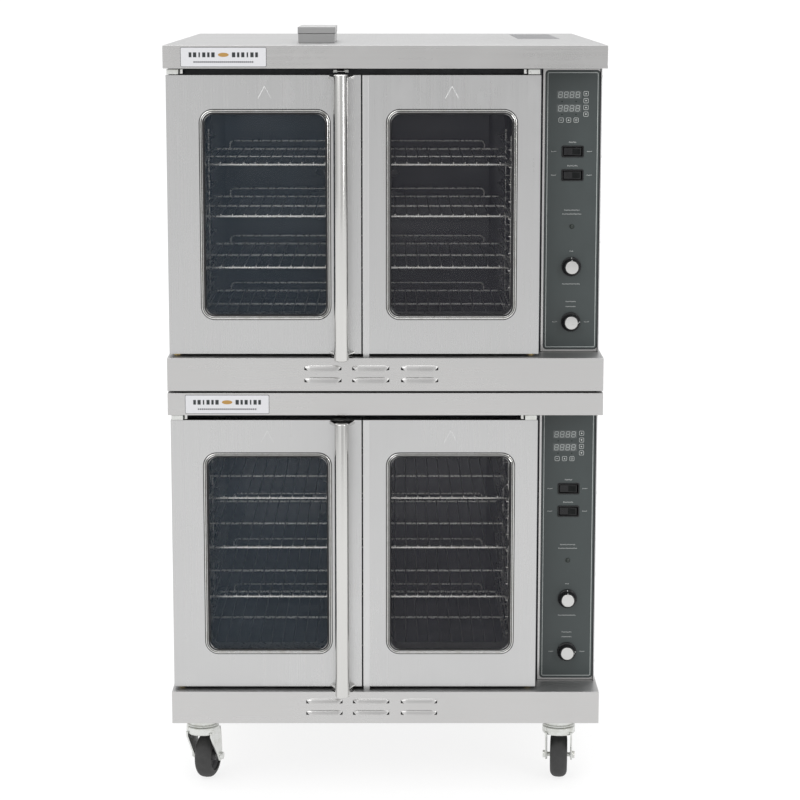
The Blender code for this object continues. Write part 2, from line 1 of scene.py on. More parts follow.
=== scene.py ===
"""Looks for the double-stack convection oven: fine geometry, materials, light and camera."""

import json
from math import cos, pi, radians, sin

import bmesh
import bpy
from mathutils import Matrix, Vector

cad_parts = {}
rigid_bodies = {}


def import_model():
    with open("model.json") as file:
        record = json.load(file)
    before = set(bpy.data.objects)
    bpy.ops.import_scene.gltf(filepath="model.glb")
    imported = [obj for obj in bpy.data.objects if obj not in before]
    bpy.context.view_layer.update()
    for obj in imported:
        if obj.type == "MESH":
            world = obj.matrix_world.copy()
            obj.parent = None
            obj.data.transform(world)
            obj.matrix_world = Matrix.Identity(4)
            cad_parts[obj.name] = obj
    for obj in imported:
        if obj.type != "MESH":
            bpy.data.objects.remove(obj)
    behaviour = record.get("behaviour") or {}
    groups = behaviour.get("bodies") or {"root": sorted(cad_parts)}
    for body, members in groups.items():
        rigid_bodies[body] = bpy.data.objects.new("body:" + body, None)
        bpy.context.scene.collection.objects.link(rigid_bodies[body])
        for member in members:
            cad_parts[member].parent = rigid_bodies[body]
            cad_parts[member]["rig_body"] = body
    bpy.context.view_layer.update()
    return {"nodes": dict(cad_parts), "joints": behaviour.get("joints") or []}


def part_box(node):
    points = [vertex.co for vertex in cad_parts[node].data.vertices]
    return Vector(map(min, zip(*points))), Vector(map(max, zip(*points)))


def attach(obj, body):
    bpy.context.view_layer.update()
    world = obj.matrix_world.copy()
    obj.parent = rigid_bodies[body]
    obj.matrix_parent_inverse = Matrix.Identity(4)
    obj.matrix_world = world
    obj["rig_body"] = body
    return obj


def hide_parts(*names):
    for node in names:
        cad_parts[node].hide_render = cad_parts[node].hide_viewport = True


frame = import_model()
scene = bpy.context.scene

DECKS = ("lower", "upper")
SIDES = ("left", "right")
CORNERS = ("front_left", "front_right", "rear_left", "rear_right")
MM = 0.001

# Camera, in front of the fascias and a little above the roof; lens and sensor in millimetres
CAMERA_SIDE = 0.007
CAMERA_DISTANCE = 5.50
CAMERA_HEIGHT = 1.8463
CAMERA_PITCH = radians(9.66)
CAMERA_LENS = 112.54
CAMERA_SENSOR = 36
CAMERA_SHIFT = 0.0144

# Area lights: name, place, target, size, watts
LIGHTS = (
    ("key", (-3.8, -4.6, 5.0), (0, 0, 1.0), (5.0, 5.0), 130),
    ("fill", (3.4, -3.8, 2.6), (0, 0, 0.9), (0.7, 2.6), 40),
    ("top", (0, 0.6, 5.2), (0, 0.2, 0), (4.5, 4.5), 105),
    ("backdrop", (0, 3.5, 7.0), (0, 8.5, 2.0), (6.0, 2.0), 190),
)

# The room: its strength, its bands as (place from left to right, level), and the rise into white
WORLD_STRENGTH = 0.84
WORLD_BANDS = (
    (0.00, 0.60), (0.14, 1.05), (0.38, 1.25), (0.46, 1.10), (0.50, 0.56), (0.54, 0.66),
    (0.62, 0.86), (0.74, 0.80), (0.84, 1.20), (0.91, 0.80), (1.00, 0.50),
)
WORLD_RISE = (0.10, 0.55)

# The floor: half its width, where it starts and turns up, the radius and top of the sweep
FLOOR_HALF = 16.0
FLOOR_START = -14.0
FLOOR_TURN = 5.0
FLOOR_RADIUS = 4.0
FLOOR_TOP = 9.0
FLOOR_GREY = 0.20
FLOOR_GLOW = 0.80

# Places on the oven, in metres
BADGE_X = (0.040, 0.226)  # from the fascia's left end
LOUVRE_X = (-0.139, -0.0325, 0.0765)
LOUVRE_Z = (0.0240, 0.0510)  # above the base's underside
LOUVRE_HALF = 0.041
MOTOR_X = -0.07
BACK_COVER_SIZE = 0.36
SUPPLY_X, SUPPLY_RISE = 0.36, 0.0954
ROOF_PLATE_X = (0.3175, 0.4165)
ROOF_PLATE_Y = (0.54, 0.98)  # behind the fascia
TRIM_MARGIN = 0.0103
TRIM_RADIUS = 0.030
PIN_INSET, PIN_DEPTH = 0.017, 0.030
CATCH_X = -0.098
CAVITY_X = (-0.440, 0.300)
CAVITY_RISE = (0.118, 0.640)  # above the base's underside
FACE_DEPTH = 0.095
PANEL_MIDDLE = 0.4185
SHEET_RADIUS = 0.007
RACK_PITCH = 0.0265
GUARD_RISE, GUARD_INSET, GUARD_BEND = 0.020, 0.042, 0.010
GUIDE_COUNT, GUIDE_PITCH = 11, 0.039

# Heights of the panel's layers, top and bottom, in millimetres in front of its face
SHEET_LAYER = (0.80, 0.05)
PRINT_LAYER = (0.92, 0.70)
KEY_LAYER = (0.95, 0.70)
SEGMENT_LAYER = (1.08, 0.90)

# Sections, in millimetres. Mouldings: (inset, distance behind the front)
TRIM_PROFILE = ((0.6, 0.2), (0.6, -1.5), (1.4, -2.6), (2.6, -2.9), (3.6, -2.1), (4.0, -0.9),
                (4.8, -0.9), (5.3, -2.2), (6.2, -2.6), (7.1, -1.8), (7.5, -0.4), (7.5, 0.2))
# Black lines laid in the trim's groove and round its outer edge: painted shade in the groove and
# painted shadow along the edge.
TRIM_SHADE_PROFILES = (((3.8, -1.05), (5.0, -1.05), (5.0, 0.1), (3.8, 0.1)),
                      ((-1.0, -0.45), (0.9, -0.45), (0.9, 0.1), (-1.0, 0.1)))
WINDOW_SEAL_PROFILE = ((7.4, -0.9), (8.6, -1.2), (10.0, -0.4), (11.0, 1.6), (11.2, 3.8),
                       (9.6, 3.8), (7.4, 0.4))
# Louvre hoods: (place along the half length, share of the full bulge)
LOUVRE_BULGE = ((-1.0, 0.0), (-0.90, 0.45), (-0.76, 0.92), (-0.66, 1.0),
                (0.66, 1.0), (0.76, 0.92), (0.90, 0.45), (1.0, 0.0))
HANDLE_RADIUS = 16
# Knobs: (radius, distance behind the panel's face, depth of the flutes)
KNOB_PROFILE = ((3.2, 18.0, 0), (3.2, -0.8, 0), (21.9, -0.8, 0), (22.0, -3.0, 0), (21.3, -4.6, 0),
                (18.6, -6.0, 0), (18.0, -8.0, 0.5), (17.0, -20.5, 0.7), (16.2, -22.4, 0.3),
                (14.9, -22.8, 0), (14.7, -22.2, 0), (0.4, -22.2, 0))
# Tyres: (distance from the middle, drop below the full radius)
TYRE_CROWN = ((0.5, 0.02), (1.5, 0.25), (6.0, 0.50), (10.0, 1.3), (13.4, 3.1), (16.2, 5.8),
              (18.2, 9.0), (19.4, 12.6), (19.6, 15.5), (18.8, 17.2))


# ---- camera, light and floor


def set_inputs(node, **values):
    for socket, value in values.items():
        node.inputs[socket.replace("_", " ")].default_value = value


def placed(name, data):
    made = bpy.data.objects.new(name, data)
    scene.collection.objects.link(made)
    return made


def set_camera():
    camera = bpy.data.cameras.new("camera")
    camera.lens = CAMERA_LENS
    camera.sensor_width = CAMERA_SENSOR
    camera.shift_x = CAMERA_SHIFT
    camera.clip_end = 200
    holder = placed("camera", camera)
    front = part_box("upper_top_cover")[0].y
    holder.location = (CAMERA_SIDE, front - CAMERA_DISTANCE, CAMERA_HEIGHT)
    holder.rotation_euler = (pi / 2 - CAMERA_PITCH, 0, 0)
    scene.camera = holder


def area_light(name, place, target, size, power):
    light = bpy.data.lights.new(name, "AREA")
    light.shape = "RECTANGLE"
    light.size, light.size_y = size
    light.energy = power
    holder = placed(name, light)
    holder.location = place
    aim = Vector(target) - Vector(place)
    holder.rotation_euler = aim.to_track_quat("-Z", "Y").to_euler()


def studio_world():
    """A pale room: soft bands across it, darker behind the camera, white overhead."""
    world = bpy.data.worlds.new("studio")
    world.use_nodes = True
    tree = world.node_tree
    new, link = tree.nodes.new, tree.links.new
    background = tree.nodes["Background"]
    split = new("ShaderNodeSeparateXYZ")
    link(new("ShaderNodeTexCoord").outputs["Generated"], split.inputs[0])
    across = new("ShaderNodeMapRange")
    set_inputs(across, From_Min=-1)
    link(split.outputs["X"], across.inputs["Value"])
    bands = new("ShaderNodeValToRGB")
    ramp = bands.color_ramp
    while len(ramp.elements) < len(WORLD_BANDS):
        ramp.elements.new(0.5)
    for element, (place, level) in zip(ramp.elements, WORLD_BANDS):
        element.position = place
        element.color = (level, level, level, 1)
    link(across.outputs[0], bands.inputs[0])
    upward = new("ShaderNodeMapRange")
    set_inputs(upward, From_Min=WORLD_RISE[0], From_Max=WORLD_RISE[1])
    link(split.outputs["Z"], upward.inputs["Value"])
    mix = new("ShaderNodeMix")
    mix.data_type = "RGBA"
    mix.inputs["B"].default_value = (1, 1, 1, 1)
    link(upward.outputs[0], mix.inputs["Factor"])
    link(bands.outputs["Color"], mix.inputs["A"])
    link(mix.outputs["Result"], background.inputs["Color"])
    set_inputs(background, Strength=WORLD_STRENGTH)
    scene.world = world
    scene.view_settings.view_transform = "Standard"


def studio():
    studio_world()
    for light in LIGHTS:
        area_light(*light)
    mesh = bpy.data.meshes.new("floor")
    sweep = [(FLOOR_START, 0.0), (FLOOR_TURN, 0.0)]
    for step in range(1, 13):
        angle = pi / 2 * step / 12
        sweep.append((FLOOR_TURN + FLOOR_RADIUS * sin(angle),
                      FLOOR_RADIUS - FLOOR_RADIUS * cos(angle)))
    sweep.append((FLOOR_TURN + FLOOR_RADIUS, FLOOR_TOP))
    points = [(x, y, z) for y, z in sweep for x in (-FLOOR_HALF, FLOOR_HALF)]
    strips = [(2 * i, 2 * i + 1, 2 * i + 3, 2 * i + 2) for i in range(len(sweep) - 1)]
    mesh.from_pydata(points, [], strips)
    mesh.shade_smooth()
    floor = placed("floor", mesh)
    paint = bpy.data.materials.new("floor_paint")
    paint.use_nodes = True
    set_inputs(paint.node_tree.nodes["Principled BSDF"], Roughness=0.9,
               Base_Color=(FLOOR_GREY, FLOOR_GREY, FLOOR_GREY, 1),
               Emission_Color=(1, 1, 1, 1), Emission_Strength=FLOOR_GLOW)
    mesh.materials.append(paint)


# ---- materials


def shade(colour, factor, lift=0.0):
    return tuple(min(1, channel * factor + lift) for channel in colour)


class Paint:
    """A node material under construction. Coordinates are the object's own, in metres."""

    def __init__(self, name, colour, roughness, metallic=0.0, **sockets):
        self.material = bpy.data.materials.new(name)
        self.material.use_nodes = True
        self.tree = self.material.node_tree
        self.shader = self.tree.nodes["Principled BSDF"]
        self.colour = colour
        set_inputs(self.shader, Base_Color=(*colour, 1), Roughness=roughness,
                   Metallic=metallic, **sockets)
        self.coords = self.tree.nodes.new("ShaderNodeTexCoord").outputs["Object"]
        self.height = None

    def node(self, kind):
        return self.tree.nodes.new(kind)

    def link(self, out, into):
        self.tree.links.new(out, into)

    def scaled(self, scale):
        """The coordinates times a scale: one number, or one for each axis."""
        if isinstance(scale, (int, float)):
            scale = (scale, scale, scale)
        mapping = self.node("ShaderNodeMapping")
        set_inputs(mapping, Scale=scale)
        self.link(self.coords, mapping.inputs["Vector"])
        return mapping.outputs[0]

    def noise(self, scale, detail=3.0, roughness=0.55, distortion=0.0):
        made = self.node("ShaderNodeTexNoise")
        set_inputs(made, Scale=1.0, Detail=detail, Roughness=roughness, Distortion=distortion)
        self.link(self.scaled(scale), made.inputs["Vector"])
        return made.outputs["Fac"]

    def cells(self, scale):
        made = self.node("ShaderNodeTexVoronoi")
        set_inputs(made, Scale=1.0)
        self.link(self.scaled(scale), made.inputs["Vector"])
        return made.outputs["Color"]

    def ranged(self, value, low, high, from_low=0.3, from_high=0.7):
        made = self.node("ShaderNodeMapRange")
        set_inputs(made, From_Min=from_low, From_Max=from_high, To_Min=low, To_Max=high)
        self.link(value, made.inputs["Value"])
        return made.outputs[0]

    def maths(self, operation, a, b):
        made = self.node("ShaderNodeMath")
        made.operation = operation
        for socket, value in zip(made.inputs, (a, b)):
            if isinstance(value, (int, float)):
                socket.default_value = value
            else:
                self.link(value, socket)
        return made.outputs[0]

    def tint(self, value, amount, other, *between):
        """Mixes another colour into the base colour where a value is high."""
        made = self.node("ShaderNodeMix")
        made.data_type = "RGBA"
        made.inputs["A"].default_value = (*self.colour, 1)
        made.inputs["B"].default_value = (*other, 1)
        self.link(self.ranged(value, 0.0, amount, *between), made.inputs["Factor"])
        into = self.shader.inputs["Base Color"]
        if into.is_linked:
            self.link(into.links[0].from_socket, made.inputs["A"])
        self.link(made.outputs["Result"], into)

    def rough(self, value, low, high, *between):
        self.link(self.ranged(value, low, high, *between), self.shader.inputs["Roughness"])

    def bump(self, value, strength, distance):
        made = self.node("ShaderNodeBump")
        set_inputs(made, Strength=strength, Distance=distance)
        self.link(value, made.inputs["Height"])
        if self.height is not None:
            self.link(self.height, made.inputs["Normal"])
        self.height = made.outputs["Normal"]
        self.link(self.height, self.shader.inputs["Normal"])


def brushed(name, colour, roughness, grain, depth=0.012, edge=1.0):
    """Brushed steel: long fine scratches along one axis, cloudy sheen and faint handling marks."""
    across, along = 1400, 9
    scale = [across] * 3
    scale["XYZ".index(grain)] = along
    paint = Paint(name, colour, roughness, 1.0, Specular_Tint=(edge, edge, edge, 1))
    scratches = paint.noise(scale, 2.0, 0.6)
    coarse = [value / 5 for value in scale]
    bands = paint.noise(coarse, 2.0, 0.5)
    clouds = paint.noise(2.6, 3.0, 0.6)
    smears = paint.noise((16, 16, 9), 4.0, 0.7, 0.4)
    darker = shade(colour, 0.90)
    paint.tint(scratches, 0.25, darker)
    paint.tint(clouds, 0.35, darker)
    sheen = paint.maths("ADD", paint.ranged(bands, -0.02, 0.03), paint.ranged(clouds, -0.04, 0.05))
    sheen = paint.maths("ADD", sheen, paint.ranged(smears, 0.0, 0.05, 0.55, 0.75))
    paint.link(paint.maths("ADD", sheen, roughness), paint.shader.inputs["Roughness"])
    paint.bump(scratches, depth, 0.0003)
    paint.bump(clouds, 0.07, 0.004)
    return paint.material


def enamel(name, colour, roughness):
    """Speckled porcelain enamel with an orange-peel surface and baked-on haze."""
    paint = Paint(name, colour, roughness, 0.0, Coat_Weight=0.4)
    specks = paint.noise(2600, 1.0, 0.5)
    paint.tint(specks, 0.5, (0.20, 0.21, 0.22), 0.64, 0.70)
    haze = paint.noise((9, 9, 14), 4.0, 0.7)
    paint.tint(haze, 0.6, shade(colour, 1.7))
    paint.rough(haze, roughness - 0.08, roughness + 0.18)
    paint.bump(paint.noise(120, 2.0), 0.05, 0.0004)
    return paint.material


def plated(name, colour, roughness, stain):
    """Bright plating with cloudy stains and a faint drawn texture."""
    paint = Paint(name, colour, roughness, 1.0)
    clouds = paint.noise(60, 3.0, 0.6)
    paint.tint(clouds, 0.7, stain, 0.45, 0.75)
    paint.rough(paint.noise(180, 3.0), roughness - 0.05, roughness + 0.12)
    paint.bump(paint.noise(900, 2.0), 0.05, 0.0003)
    return paint.material


def plastic(name, colour, roughness, shine=0.5):
    """Moulded plastic with a fine spark-eroded grain and slight finger polish."""
    paint = Paint(name, colour, roughness, 0.0, Specular_IOR_Level=shine)
    grain = paint.noise(2200, 2.0)
    polish = paint.noise(70, 3.0)
    paint.tint(polish, 0.5, shade(colour, 1.5, 0.01))
    paint.rough(polish, roughness - 0.08, roughness + 0.10)
    paint.bump(grain, 0.12, 0.0003)
    return paint.material


def rubber(name, colour):
    """Dull rubber with pores, and dust that gathers in patches."""
    paint = Paint(name, colour, 0.75)
    dust = paint.noise(45, 4.0, 0.7)
    paint.tint(dust, 0.55, shade(colour, 1.9, 0.02), 0.4, 0.75)
    paint.rough(dust, 0.62, 0.86)
    paint.bump(paint.noise(1100, 2.0), 0.2, 0.0005)
    return paint.material


def overlay(name, colour):
    """The satin printed sheet on the control panel, with a very fine pebble and light wear."""
    paint = Paint(name, colour, 0.42)
    pebble = paint.cells(1500)
    wear = paint.noise((26, 26, 18), 4.0, 0.65)
    paint.tint(wear, 0.35, shade(colour, 1.35))
    paint.rough(wear, 0.34, 0.52)
    paint.bump(pebble, 0.05, 0.0002)
    return paint.material


def printed(name, colour, roughness=0.5):
    """Screen-print ink, slightly uneven in density."""
    paint = Paint(name, colour, roughness)
    density = paint.noise(600, 3.0)
    paint.tint(density, 0.3, shade(colour, 0.7))
    paint.rough(density, roughness - 0.06, roughness + 0.08)
    return paint.material


def tinted_glass(name, colour, alpha):
    """Dark heat-resistant glass, with faint cooking haze in cloudy patches."""
    paint = Paint(name, colour, 0.03, 0.0, Alpha=alpha, IOR=1.5)
    haze = paint.noise((14, 14, 10), 4.0, 0.7, 0.6)
    paint.tint(haze, 0.35, shade(colour, 1.8, 0.01), 0.45, 0.8)
    paint.rough(haze, 0.02, 0.09, 0.35, 0.8)
    return paint.material


def cast_paint(name, colour):
    """Thick paint on a casting."""
    paint = Paint(name, colour, 0.55)
    lumps = paint.noise(240, 4.0, 0.6)
    paint.tint(paint.noise(30, 4.0), 0.6, (0.10, 0.09, 0.08))
    paint.rough(lumps, 0.42, 0.68)
    paint.bump(lumps, 0.25, 0.0008)
    return paint.material


def spangled(name, colour):
    """Aluminised or galvanised sheet with its crystal spangle."""
    paint = Paint(name, colour, 0.42, 1.0)
    crystals = paint.cells(170)
    grey = paint.node("ShaderNodeSeparateColor")
    paint.link(crystals, grey.inputs[0])
    paint.tint(grey.outputs[0], 0.4, shade(colour, 0.72), 0, 1)
    paint.rough(grey.outputs[1], 0.32, 0.52, 0, 1)
    paint.bump(paint.noise(500, 2.0), 0.06, 0.0004)
    return paint.material


STEEL_FLAT = brushed("steel_fascia_grain", (0.57, 0.565, 0.56), 0.28, "X")
STEEL_DOOR = brushed("steel_door_grain", (0.57, 0.57, 0.57), 0.27, "Z")
STEEL_SIDE = brushed("steel_side_grain", (0.54, 0.54, 0.54), 0.34, "Z")
STEEL_CHEEK = brushed("steel_cheek_grain", (0.57, 0.565, 0.56), 0.28, "Y")
STEEL_ROOF = brushed("steel_roof_grain", (0.57, 0.57, 0.57), 0.38, "Y", 0.012, 0.60)
STEEL_HANDLE = brushed("steel_handle_grain", (0.65, 0.645, 0.63), 0.14, "Z")
CHROME = plated("trim_chrome", (0.61, 0.61, 0.60), 0.10, (0.50, 0.49, 0.46))
WIRE = plated("wire_plating", (0.92, 0.91, 0.88), 0.26, (0.80, 0.76, 0.68))
# The same plating as the wires above, made much darker: painted shade on the rack's fine wires.
WIRE_FINE_SHADE = plated("fine_wire_plating_shade", (0.30, 0.29, 0.28), 0.34, (0.18, 0.16, 0.13))
ZINC = plated("zinc_plating", (0.70, 0.71, 0.69), 0.30, (0.52, 0.52, 0.47))
BRASS = plated("brass_bush", (0.72, 0.56, 0.27), 0.30, (0.42, 0.31, 0.15))
ENAMEL = enamel("cavity_enamel", (0.020, 0.024, 0.030), 0.42)
# Black rubber for the gaskets and seals; the same black also draws painted shade round the window
# trim and the badge.
GASKET_AND_SHADE = rubber("gasket_and_shade_black", (0.012, 0.012, 0.013))
TYRE = rubber("tyre_rubber", (0.030, 0.030, 0.030))
# Black rubber for the stacking spacer; the same black is painted shadow under the flue lid and
# painted shade in the motor cover's slots.
SPACER_AND_SHADE = rubber("spacer_black", (0.010, 0.010, 0.010))
BLACK = plastic("switch_black", (0.006, 0.006, 0.007), 0.28, 0.35)
DARK_GREY = plastic("rocker_grey", (0.005, 0.006, 0.006), 0.40, 0.12)
HUB = plastic("hub_grey", (0.040, 0.040, 0.042), 0.50)
SLATE = overlay("panel_overlay", (0.040, 0.050, 0.050))
INK_WHITE = printed("ink_white", (0.62, 0.64, 0.63))
INK_SILVER = printed("ink_silver", (0.50, 0.53, 0.52), 0.35)
# Dark ink for the badge's bars; the same ink is the painted shadow round the panel overlay's edge.
INK_DARK_AND_SHADOW = printed("ink_dark_and_shadow", (0.020, 0.024, 0.026), 0.30)
SEGMENT = printed("segment_unlit", (0.40, 0.43, 0.42), 0.35)
DISPLAY = printed("display_window", (0.105, 0.115, 0.115), 0.25)
BADGE_FACE = printed("badge_face", (0.66, 0.66, 0.68), 0.30)
# A darker copy of the fascia steel, for the flue vent and its lid: painted shade.
STEEL_VENT_SHADE = brushed("steel_vent_grain_shade", (0.42, 0.42, 0.42), 0.38, "X")
# A lighter copy of the door steel, for the chevron and the fold strip: painted highlight.
STEEL_HIGHLIGHT = brushed("steel_painted_highlight", (0.64, 0.64, 0.64), 0.30, "Z", 0.02)
INK_OCHRE = printed("ink_ochre", (0.42, 0.24, 0.06), 0.4)
LAMP = plastic("lamp_lens", (0.015, 0.022, 0.018), 0.12)
CAP_ALUMINIUM = brushed("knob_cap", (0.62, 0.62, 0.61), 0.30, "X", 0.03)
# The doors hold one glass, but the left copy is tinted bluish and the right neutral, and both are
# lighter than the dark glass itself: painted reflection.
GLASS_LEFT = tinted_glass("glass_left", (0.050, 0.070, 0.094), 0.16)
GLASS_RIGHT = tinted_glass("glass_right", (0.046, 0.046, 0.057), 0.16)
ALUMINISED = spangled("aluminised_sheet", (0.56, 0.57, 0.57))
MOTOR = cast_paint("motor_paint", (0.045, 0.047, 0.052))
# A darker steel for the roof access plate and its screws; the plate is real, and its darker grey is
# painted shade standing in for the shaded holes of a fine perforation.
STEEL_DARK = brushed("steel_dark_plate", (0.46, 0.46, 0.47), 0.42, "Y", 0.012, 0.25)


# ---- geometry


def facing(outline, y):
    """An (x, z) outline set up at one depth."""
    return [Vector((px, y, pz)) for px, pz in outline]


def arc(cx, cz, radius, start, steps):
    """A quarter circle in (x, z), counter-clockwise from an angle in degrees."""
    points = []
    for i in range(steps + 1):
        angle = radians(start + 90 * i / steps)
        points.append((cx + radius * cos(angle), cz + radius * sin(angle)))
    return points


def rounded(x, z, radius, steps=6):
    """Counter-clockwise outline of a rounded rectangle in (x, z)."""
    near_x, far_x = inset(x, radius)
    low_z, high_z = inset(z, radius)
    return (arc(far_x, high_z, radius, 0, steps) + arc(near_x, high_z, radius, 90, steps)
            + arc(near_x, low_z, radius, 180, steps) + arc(far_x, low_z, radius, 270, steps))


def span(middle, size):
    return (middle - size / 2, middle + size / 2)


def inset(pair, by):
    return (pair[0] + by, pair[1] - by)


def layer(front, heights):
    """The depths between which a layer stands out, from its heights in millimetres."""
    return (front - heights[0] * MM, front - heights[1] * MM)


def shares(low, high, places):
    return [low + (high - low) * place for place in places]


class Build:
    """Collects closed shapes into one mesh. Places are world metres, profiles are millimetres."""

    def __init__(self):
        self.mesh = bmesh.new()

    def loft(self, rings, closed=False, cap=True):
        rows = [[self.mesh.verts.new(p) for p in ring] for ring in rings]
        count = len(rows[0])
        pairs = list(zip(rows, rows[1:]))
        if closed:
            pairs.append((rows[-1], rows[0]))
        for below, above in pairs:
            for i in range(count):
                j = (i + 1) % count
                self.mesh.faces.new((below[i], below[j], above[j], above[i]))
        if cap and not closed:
            self.mesh.faces.new(tuple(reversed(rows[0])))
            self.mesh.faces.new(tuple(rows[-1]))
        return self

    def box(self, x, y, z):
        base = ((x[0], y[0]), (x[1], y[0]), (x[1], y[1]), (x[0], y[1]))
        return self.loft([[Vector((cx, cy, level)) for cx, cy in base] for level in z])

    def plate(self, outline, y):
        """An (x, z) outline between two depths."""
        return self.loft([facing(outline, level) for level in y])

    def turned(self, profile, centre, axis, sides=32, closed=False):
        """A lathed shape. The profile is (radius, distance along the axis) points."""
        turn = Vector((0, 0, 1)).rotation_difference(Vector(axis)).to_matrix()
        rings = []
        for radius, offset in profile:
            ring = []
            for i in range(sides):
                angle = 2 * pi * i / sides
                reach = radius * MM
                spoke = (reach * cos(angle), reach * sin(angle), offset * MM)
                ring.append(Vector(centre) + turn @ Vector(spoke))
            rings.append(ring)
        return self.loft(rings, closed)

    def tube(self, points, radius, sides=8, closed=False):
        """A round bar along a polyline, mitred at its corners."""
        points = [Vector(p) for p in points]
        count = len(points)
        rings = []
        side = None
        for i, point in enumerate(points):
            into = (point - points[i - 1]).normalized() if i or closed else None
            more = i < count - 1 or closed
            out = (points[(i + 1) % count] - point).normalized() if more else None
            into = into or out
            out = out or into
            along = (into + out).normalized()
            if side is None:
                side = along.orthogonal().normalized()
            side = (side - along * side.dot(along)).normalized()
            other = along.cross(side)
            stretch = 1 / max(0.5, along.dot(into))
            bend = (out - into).normalized() if (out - into).length > 1e-5 else None
            ring = []
            for k in range(sides):
                angle = 2 * pi * k / sides
                spoke = radius * (cos(angle) * side + sin(angle) * other)
                if bend is not None:
                    spoke += bend * (spoke.dot(bend) * (stretch - 1))
                ring.append(point + spoke)
            rings.append(ring)
        return self.loft(rings, closed)

    def ring(self, x, z, radius, front, profile, steps=8):
        """A moulding round a rounded rectangle. The profile is (inset, distance behind the
        front) points in a closed loop."""
        rings = []
        for inward, back in profile:
            by = inward * MM
            outline = rounded(inset(x, by), inset(z, by), max(radius - by, 0.5 * MM), steps)
            rings.append(facing(outline, front + back * MM))
        return self.loft(rings, closed=True)

    def move(self, matrix):
        self.mesh.transform(matrix)
        return self

    def finish(self, name, material, slot, body="oven", **edges):
        bmesh.ops.recalc_face_normals(self.mesh, faces=self.mesh.faces)
        data = bpy.data.meshes.new(name)
        self.mesh.to_mesh(data)
        self.mesh.free()
        return dress(name, data, material, slot, body, **edges)


def dress(name, data, material, slot, body, bevel=0.0, segments=2, angle=32, nodes=()):
    """Turns a mesh into a piece: material, smooth shading, rounded edges and body; its slot is not
    used.
    The bevel is in millimetres, and edges sharper than the angle in degrees stay sharp."""
    data.name = name
    data.materials.clear()
    data.materials.append(material)
    data.shade_smooth()
    data.set_sharp_from_angle(angle=radians(angle))
    piece = placed(name, data)
    if bevel:
        rounding = piece.modifiers.new("edges", "BEVEL")
        rounding.width = bevel * MM
        rounding.segments = segments
        rounding.limit_method = "ANGLE"
        rounding.angle_limit = radians(angle)
        rounding.harden_normals = True
    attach(piece, body)
    if nodes:
        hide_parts(*nodes)
    return piece


def refined(node, material, slot, bevel, segments=2, angle=32):
    """The CAD node's own shape with its flat faces whole again and its edges rounded."""
    shape = bmesh.new()
    shape.from_mesh(frame["nodes"][node].data)
    bmesh.ops.remove_doubles(shape, verts=shape.verts, dist=1e-5)
    flat = radians(0.6)
    bmesh.ops.dissolve_limit(shape, angle_limit=flat, verts=shape.verts, edges=shape.edges)
    many_sided = [face for face in shape.faces if len(face.verts) > 4]
    bmesh.ops.triangulate(shape, faces=many_sided)
    bmesh.ops.recalc_face_normals(shape, faces=shape.faces)
    data = bpy.data.meshes.new(node)
    shape.to_mesh(data)
    shape.free()
    body = frame["nodes"][node]["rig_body"]
    return dress(f"{node}_shell", data, material, slot, body, bevel, segments, angle, (node,))


def screw(build, place, axis, radius=4.5, rise=2.2):
    """A pan-head screw with a washer face and a cross recess rim, in millimetres."""
    profile = ((radius, 0), (radius, rise * 0.45), (radius * 0.82, rise * 0.85),
               (radius * 0.45, rise), (radius * 0.36, rise * 0.55), (radius * 0.1, rise * 0.5))
    build.turned(profile, place, axis, 14)


# ---- casing


def casing(deck):
    for node in (f"{deck}_top_cover", f"{deck}_base_pan"):
        grained(refined(node, STEEL_FLAT, "brushed_stainless", 1.1))
    refined(f"{deck}_body_shell", STEEL_SIDE, "brushed_stainless", 0.8)
    refined(f"{deck}_cavity_liner", ENAMEL, "dark_enamel", 0.6)
    badge(deck)
    louvres(deck)
    casing_screws(deck)
    back_cover(deck)


def grained(pan):
    """Turns the grain of a folded pan: front to back on its top and on its sides."""
    pan.data.materials.append(STEEL_ROOF)
    pan.data.materials.append(STEEL_CHEEK)
    for face in pan.data.polygons:
        if face.normal.z > 0.9:
            face.material_index = 1
        elif abs(face.normal.x) > 0.9:
            face.material_index = 2


